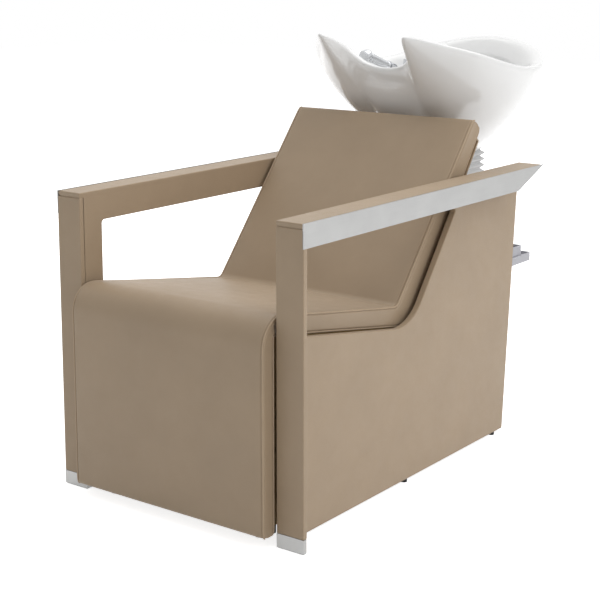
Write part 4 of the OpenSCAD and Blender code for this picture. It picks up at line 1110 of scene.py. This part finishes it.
def smoothed(rings):
    """Rings with each point drawn towards its two neighbours in the same ring."""
    return (np.roll(rings, 1, axis=-2) + 2 * rings + np.roll(rings, -1, axis=-2)) / 4


for _ in range(8):
    section = smoothed(section)
for k in range(WALL_RINGS):
    # The groove beside each wing widens and fades towards the foot
    for _ in range(3 * k):
        section[k - WALL_RINGS] = smoothed(section[k - WALL_RINGS])
shell = fine(section, 3)
for _ in range(2):
    shell[1:-1] = (shell[:-2] + 2 * shell[1:-1] + shell[2:]) / 4
under = [foot_ring(FOOT_W - 3, FOOT_D - 3, FOOT_Z), foot_ring(FOOT_W - 20, FOOT_D - 20, FOOT_Z),
         foot_ring(FOOT_W - 22, FOOT_D - 22, FOOT_Z + 3), drain_ring(48, 690), drain_ring(24, 692),
         drain_ring(22.3, 694), drain_ring(22.3, BOWL_Z - 5)]
basin_rings = np.concatenate([shell, np.array(under)])
points = np.clip(metres(basin_rings.reshape(-1, 3)), *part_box("basin"))
faces = ring_faces(len(basin_rings), COLUMNS)
last = (len(basin_rings) - 1) * COLUMNS
faces += [(last + i, last + (i + 1) % COLUMNS, (i + 1) % COLUMNS, i) for i in range(COLUMNS)]
basin = mesh_object("basin_shell", points, faces, "glazed_white")
subdivide(basin)
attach(basin, "basin")
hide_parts("basin")


# ---------------- bellows and hoses

def rounded_ring(hw, hd, r):
    """Rounded rectangle, resampled evenly."""
    out = []
    for sx, sy, a0 in ((1, 1, 0), (-1, 1, 90), (-1, -1, 180), (1, -1, 270)):
        for k in range(11):
            a = math.radians(a0 + 9 * k)
            out.append((sx * (hw - r) + r * math.cos(a), sy * (hd - r) + r * math.sin(a)))
    return leg(out + out[:1], 120)[:-1]


RIBS = 4
BELLOWS_DEPTH = 9.0
levels = []
for k in range(RIBS * 12 + 1):
    t = k / (RIBS * 12)
    wave = abs((t * RIBS) % 1.0 - 0.5) * 2
    # Rounded at the crest and in the valley, nearly straight between them
    depth = 0.5 - 0.5 * math.cos(math.pi * wave)
    depth = 0.45 * wave + 0.55 * depth
    levels.append((BELLOWS_DEPTH * depth, COVER_H + (FOOT_Z - COVER_H) * t))
rings = []
for inset, z in levels:
    line = rounded_ring(FOOT_W - inset - 0.3, FOOT_D - inset - 0.3, 16)
    rings.append(np.column_stack([line[:, 0], line[:, 1] + PIVOT_Y, np.full(len(line), z)]))
bellows = skin("bellows_folds", rings, "bellows_rubber", 0.0014)
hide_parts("bellows")
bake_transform(bellows)


HOSE_SIDES = 32


def hose(name, x, y, z0, z1, radius, ridges, depth, slot, replaced):
    """Upright ribbed or braided hose between the stand and the tilting head."""
    steps = ridges * 4
    rings = []
    for k in range(steps + 1):
        t = k / steps
        r = radius - depth * (0.5 + 0.5 * math.cos(2 * math.pi * ridges * t))
        a = circle(HOSE_SIDES)
        rings.append(np.column_stack([x + r * np.cos(a), y + r * np.sin(a),
                                      np.full(HOSE_SIDES, z0 + (z1 - z0) * t)]))
    obj = skin(name, rings, slot, 0.0015)
    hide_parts(replaced)
    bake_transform(obj)


hose("waste_bellow_hose", 0.0, PIVOT_Y, 118.2, 639.8, 17.9, 70, 0.9, "waste_plastic",
     "waste_hose")
for x, tag in ((-28.0, "left"), (28.0, "right")):
    hose(f"water_hose_{tag}", x, PIVOT_Y + 22.0, 174.2, 663.5, 4.0, 18, 0.25, "hose_steel",
         "supply_hoses")


# ---------------- chrome pieces

TAP_Z = DECK_Z - 0.5
SLEEVE_AT = vec(-164.0, PIVOT_Y + 12.0)
MIXER_AT = vec(-150.0, PIVOT_Y + 88.0)
SHOWER_RISE = 18.0
LEVER_RISE = 10.0


def rotation(axis, degrees):
    a = math.radians(degrees)
    c, s = math.cos(a), math.sin(a)
    return np.array({"x": [[1, 0, 0], [0, c, -s], [0, s, c]],
                     "y": [[c, 0, s], [0, 1, 0], [-s, 0, c]],
                     "z": [[c, -s, 0], [s, c, 0], [0, 0, 1]]}[axis])


shower_turn = rotation("x", 90.0 - SHOWER_RISE)
shower_at = vec(SLEEVE_AT[0], SLEEVE_AT[1], TAP_Z + 19.0)
grip = turned("shower_grip", [
    (0.01, -8.6), (9.9, -8.6), (9.9, 13.8), (9.9, 14.2), (11.4, 14.2), (11.4, 19.0), (10.6, 19.6),
    (10.4, 21.5), (10.9, 22.4), (12.2, 60.0), (13.4, 100.0), (13.9, 104.0), (13.9, 107.6),
    (11.0, 108.4), (0.01, 108.4)], 1.2, (shower_turn, shower_at))
head_turn = shower_turn @ rotation("x", 30.0)
head_at = shower_at + shower_turn @ vec(0, 0, 118.0)
head = turned("shower_head", [
    (0.01, -13.0), (9.0, -12.6), (13.6, -9.0), (15.6, -2.0), (16.0, 3.0), (16.0, 12.4),
    (14.9, 13.4), (13.2, 13.4), (13.0, 14.4), (0.01, 14.4)], 1.4, (head_turn, head_at))
for piece in (grip, head):
    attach(piece, "hand_shower")
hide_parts("hand_shower")

lever_turn = rotation("z", 62.0)
LEVER_Z = TAP_Z + 44.7
lever_at = vec(MIXER_AT[0], MIXER_AT[1], LEVER_Z)
arm_turn = lever_turn @ rotation("x", 90.0 - LEVER_RISE)
arm_at = lever_at + lever_turn @ vec(0, -4, 0)
lever = turned("lever_arm", [
    (0.01, 4.4), (4.6, 4.4), (5.4, 8.0), (4.7, 22.0), (4.5, 40.0), (5.3, 48.0), (6.7, 51.5),
    (6.95, 54.0), (5.6, 57.6), (3.0, 58.8), (0.01, 59.0)], 2.0, (arm_turn, arm_at))
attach(lever, "mixer_lever")
for x in (-1, 1):
    hub = turned(f"lever_hub_{'left' if x < 0 else 'right'}", [
        (0.01, 4.35), (6.9, 4.35), (6.98, 10.6), (6.0, 11.9), (0.01, 12.0)], 0.7,
        (lever_turn @ rotation("y", 90.0 * x), lever_at))
    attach(hub, "mixer_lever")
soften("mixer_lever", 0.5)

plug_at = vec(0.0, PIVOT_Y, BOWL_Z)
plug = turned("strainer_cap", [
    (21.9, 2.9), (21.95, 3.6), (20.6, 4.35), (12.0, 4.5), (4.4, 4.6), (3.1, 5.6), (2.7, 8.6),
    (3.6, 10.4), (4.45, 12.8), (3.9, 15.6), (2.0, 17.2), (0.01, 17.4)], 0.8,
    (np.eye(3), plug_at))
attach(plug, "strainer")


# ---------------- stage, lights and camera

def seen_rays(tree):
    """1 for camera and glossy rays, and 0 for the light that falls on the object."""
    path = tree.nodes.new("ShaderNodeLightPath")
    seen = tree.nodes.new("ShaderNodeMath")
    seen.operation = "MAXIMUM"
    tree.links.new(path.outputs["Is Camera Ray"], seen.inputs[0])
    tree.links.new(path.outputs["Is Glossy Ray"], seen.inputs[1])
    return seen.outputs[0]


def aim(obj, at, target, axis):
    """Puts an object at a point, with its axis towards the target."""
    obj.location = at
    obj.rotation_mode = "QUATERNION"
    obj.rotation_quaternion = (Vector(target) - Vector(at)).to_track_quat(axis, "Y")


def stage_material(name, base, glow):
    """Pale surface that the camera sees as near white, and that still takes the shadow."""
    mat = bpy.data.materials.new(name)
    tree = clean_tree(mat)
    out = tree.nodes.new("ShaderNodeOutputMaterial")
    diffuse = tree.nodes.new("ShaderNodeBsdfDiffuse")
    diffuse.inputs["Color"].default_value = base
    emit = tree.nodes.new("ShaderNodeEmission")
    more = tree.nodes.new("ShaderNodeMath")
    more.operation = "MULTIPLY"
    more.inputs[1].default_value = glow
    add = tree.nodes.new("ShaderNodeAddShader")
    tree.links.new(seen_rays(tree), more.inputs[0])
    tree.links.new(more.outputs[0], emit.inputs["Strength"])
    tree.links.new(diffuse.outputs[0], add.inputs[0])
    tree.links.new(emit.outputs[0], add.inputs[1])
    tree.links.new(add.outputs[0], out.inputs["Surface"])
    return mat


def rectangle(name, width, height, material):
    """Flat stage piece that lies with its middle at the origin."""
    w, h = width / 2, height / 2
    mesh = bpy.data.meshes.new(name)
    mesh.from_pydata([(-w, -h, 0), (w, -h, 0), (w, h, 0), (-w, h, 0)], [], [(0, 1, 2, 3)])
    mesh.materials.append(material)
    obj = bpy.data.objects.new(name, mesh)
    scene.collection.objects.link(obj)
    return obj


FLOOR = 24.0
FLOOR_GLOW = 0.80
WORLD_LIGHT = 0.52
floor = rectangle("floor", FLOOR, FLOOR,
                  stage_material("pale_floor", (0.84, 0.84, 0.84, 1.0), FLOOR_GLOW))


def flag(name, at, target, width, height, grey):
    """Dark studio card that only reflections show, so that chrome and glaze keep their shape."""
    mat = bpy.data.materials.new(name)
    tree = clean_tree(mat)
    glow = tree.nodes.new("ShaderNodeEmission")
    glow.inputs["Color"].default_value = (grey, grey, grey, 1.0)
    end = tree.nodes.new("ShaderNodeOutputMaterial")
    tree.links.new(glow.outputs[0], end.inputs["Surface"])
    card = rectangle(name, width, height, mat)
    aim(card, at, target, "Z")
    card.visible_camera = card.visible_diffuse = card.visible_shadow = False
    card.visible_transmission = False
    return card


flags = [flag("flag_front", (1.4, -5.0, 2.0), (0, 0, 0.8), 2.0, 2.2, 0.08),
         flag("flag_left", (-4.6, -1.8, 1.6), (0, 0, 0.8), 2.0, 3.2, 0.04),
         flag("flag_right", (4.8, 0.6, 1.2), (0, 0, 0.8), 1.6, 2.4, 0.08)]

world = bpy.data.worlds.new("studio")
scene.world = world
tree = clean_tree(world)
sky = tree.nodes.new("ShaderNodeBackground")
sky.inputs["Color"].default_value = (1, 1, 1, 1)
level = tree.nodes.new("ShaderNodeMapRange")
level.inputs["To Min"].default_value = WORLD_LIGHT
level.inputs["To Max"].default_value = 1.0
tree.links.new(seen_rays(tree), level.inputs["Value"])
tree.links.new(level.outputs["Result"], sky.inputs["Strength"])
out = tree.nodes.new("ShaderNodeOutputWorld")
tree.links.new(sky.outputs[0], out.inputs["Surface"])


def area_light(name, at, target, size, size_y, watts, mirrored_too):
    """Soft box. The two small ones would leave hard outlines in the glaze, so it omits them."""
    data = bpy.data.lights.new(name, "AREA")
    data.shape = "RECTANGLE"
    data.size, data.size_y, data.energy = size, size_y, watts
    obj = bpy.data.objects.new(name, data)
    scene.collection.objects.link(obj)
    obj.visible_glossy = mirrored_too
    aim(obj, at, target, "-Z")


area_light("overhead", (1.0, 1.5, 4.5), (0.4, 0.7, 0), 6.0, 6.0, 168.0, True)
area_light("left", (-3.3, 0.9, 1.5), (0, 0, 0.6), 2.0, 2.4, 44.0, False)
area_light("right", (3.6, -0.4, 1.6), (0, 0, 0.3), 1.6, 2.0, 26.0, False)

camera = bpy.data.objects.new("camera", bpy.data.cameras.new("camera"))
scene.collection.objects.link(camera)
scene.camera = camera
camera.data.sensor_width = 36.0
camera.data.lens = 85.259
camera.data.shift_y = -0.15
camera.location = (1.8880, -2.7400, 1.1541)
camera.rotation_euler = (math.radians(90 - 10.085), 0, math.radians(36.638))
camera.data.dof.use_dof = False
camera.data.clip_start = 0.05
camera.data.clip_end = 100.0

scene.view_settings.view_transform = "Standard"
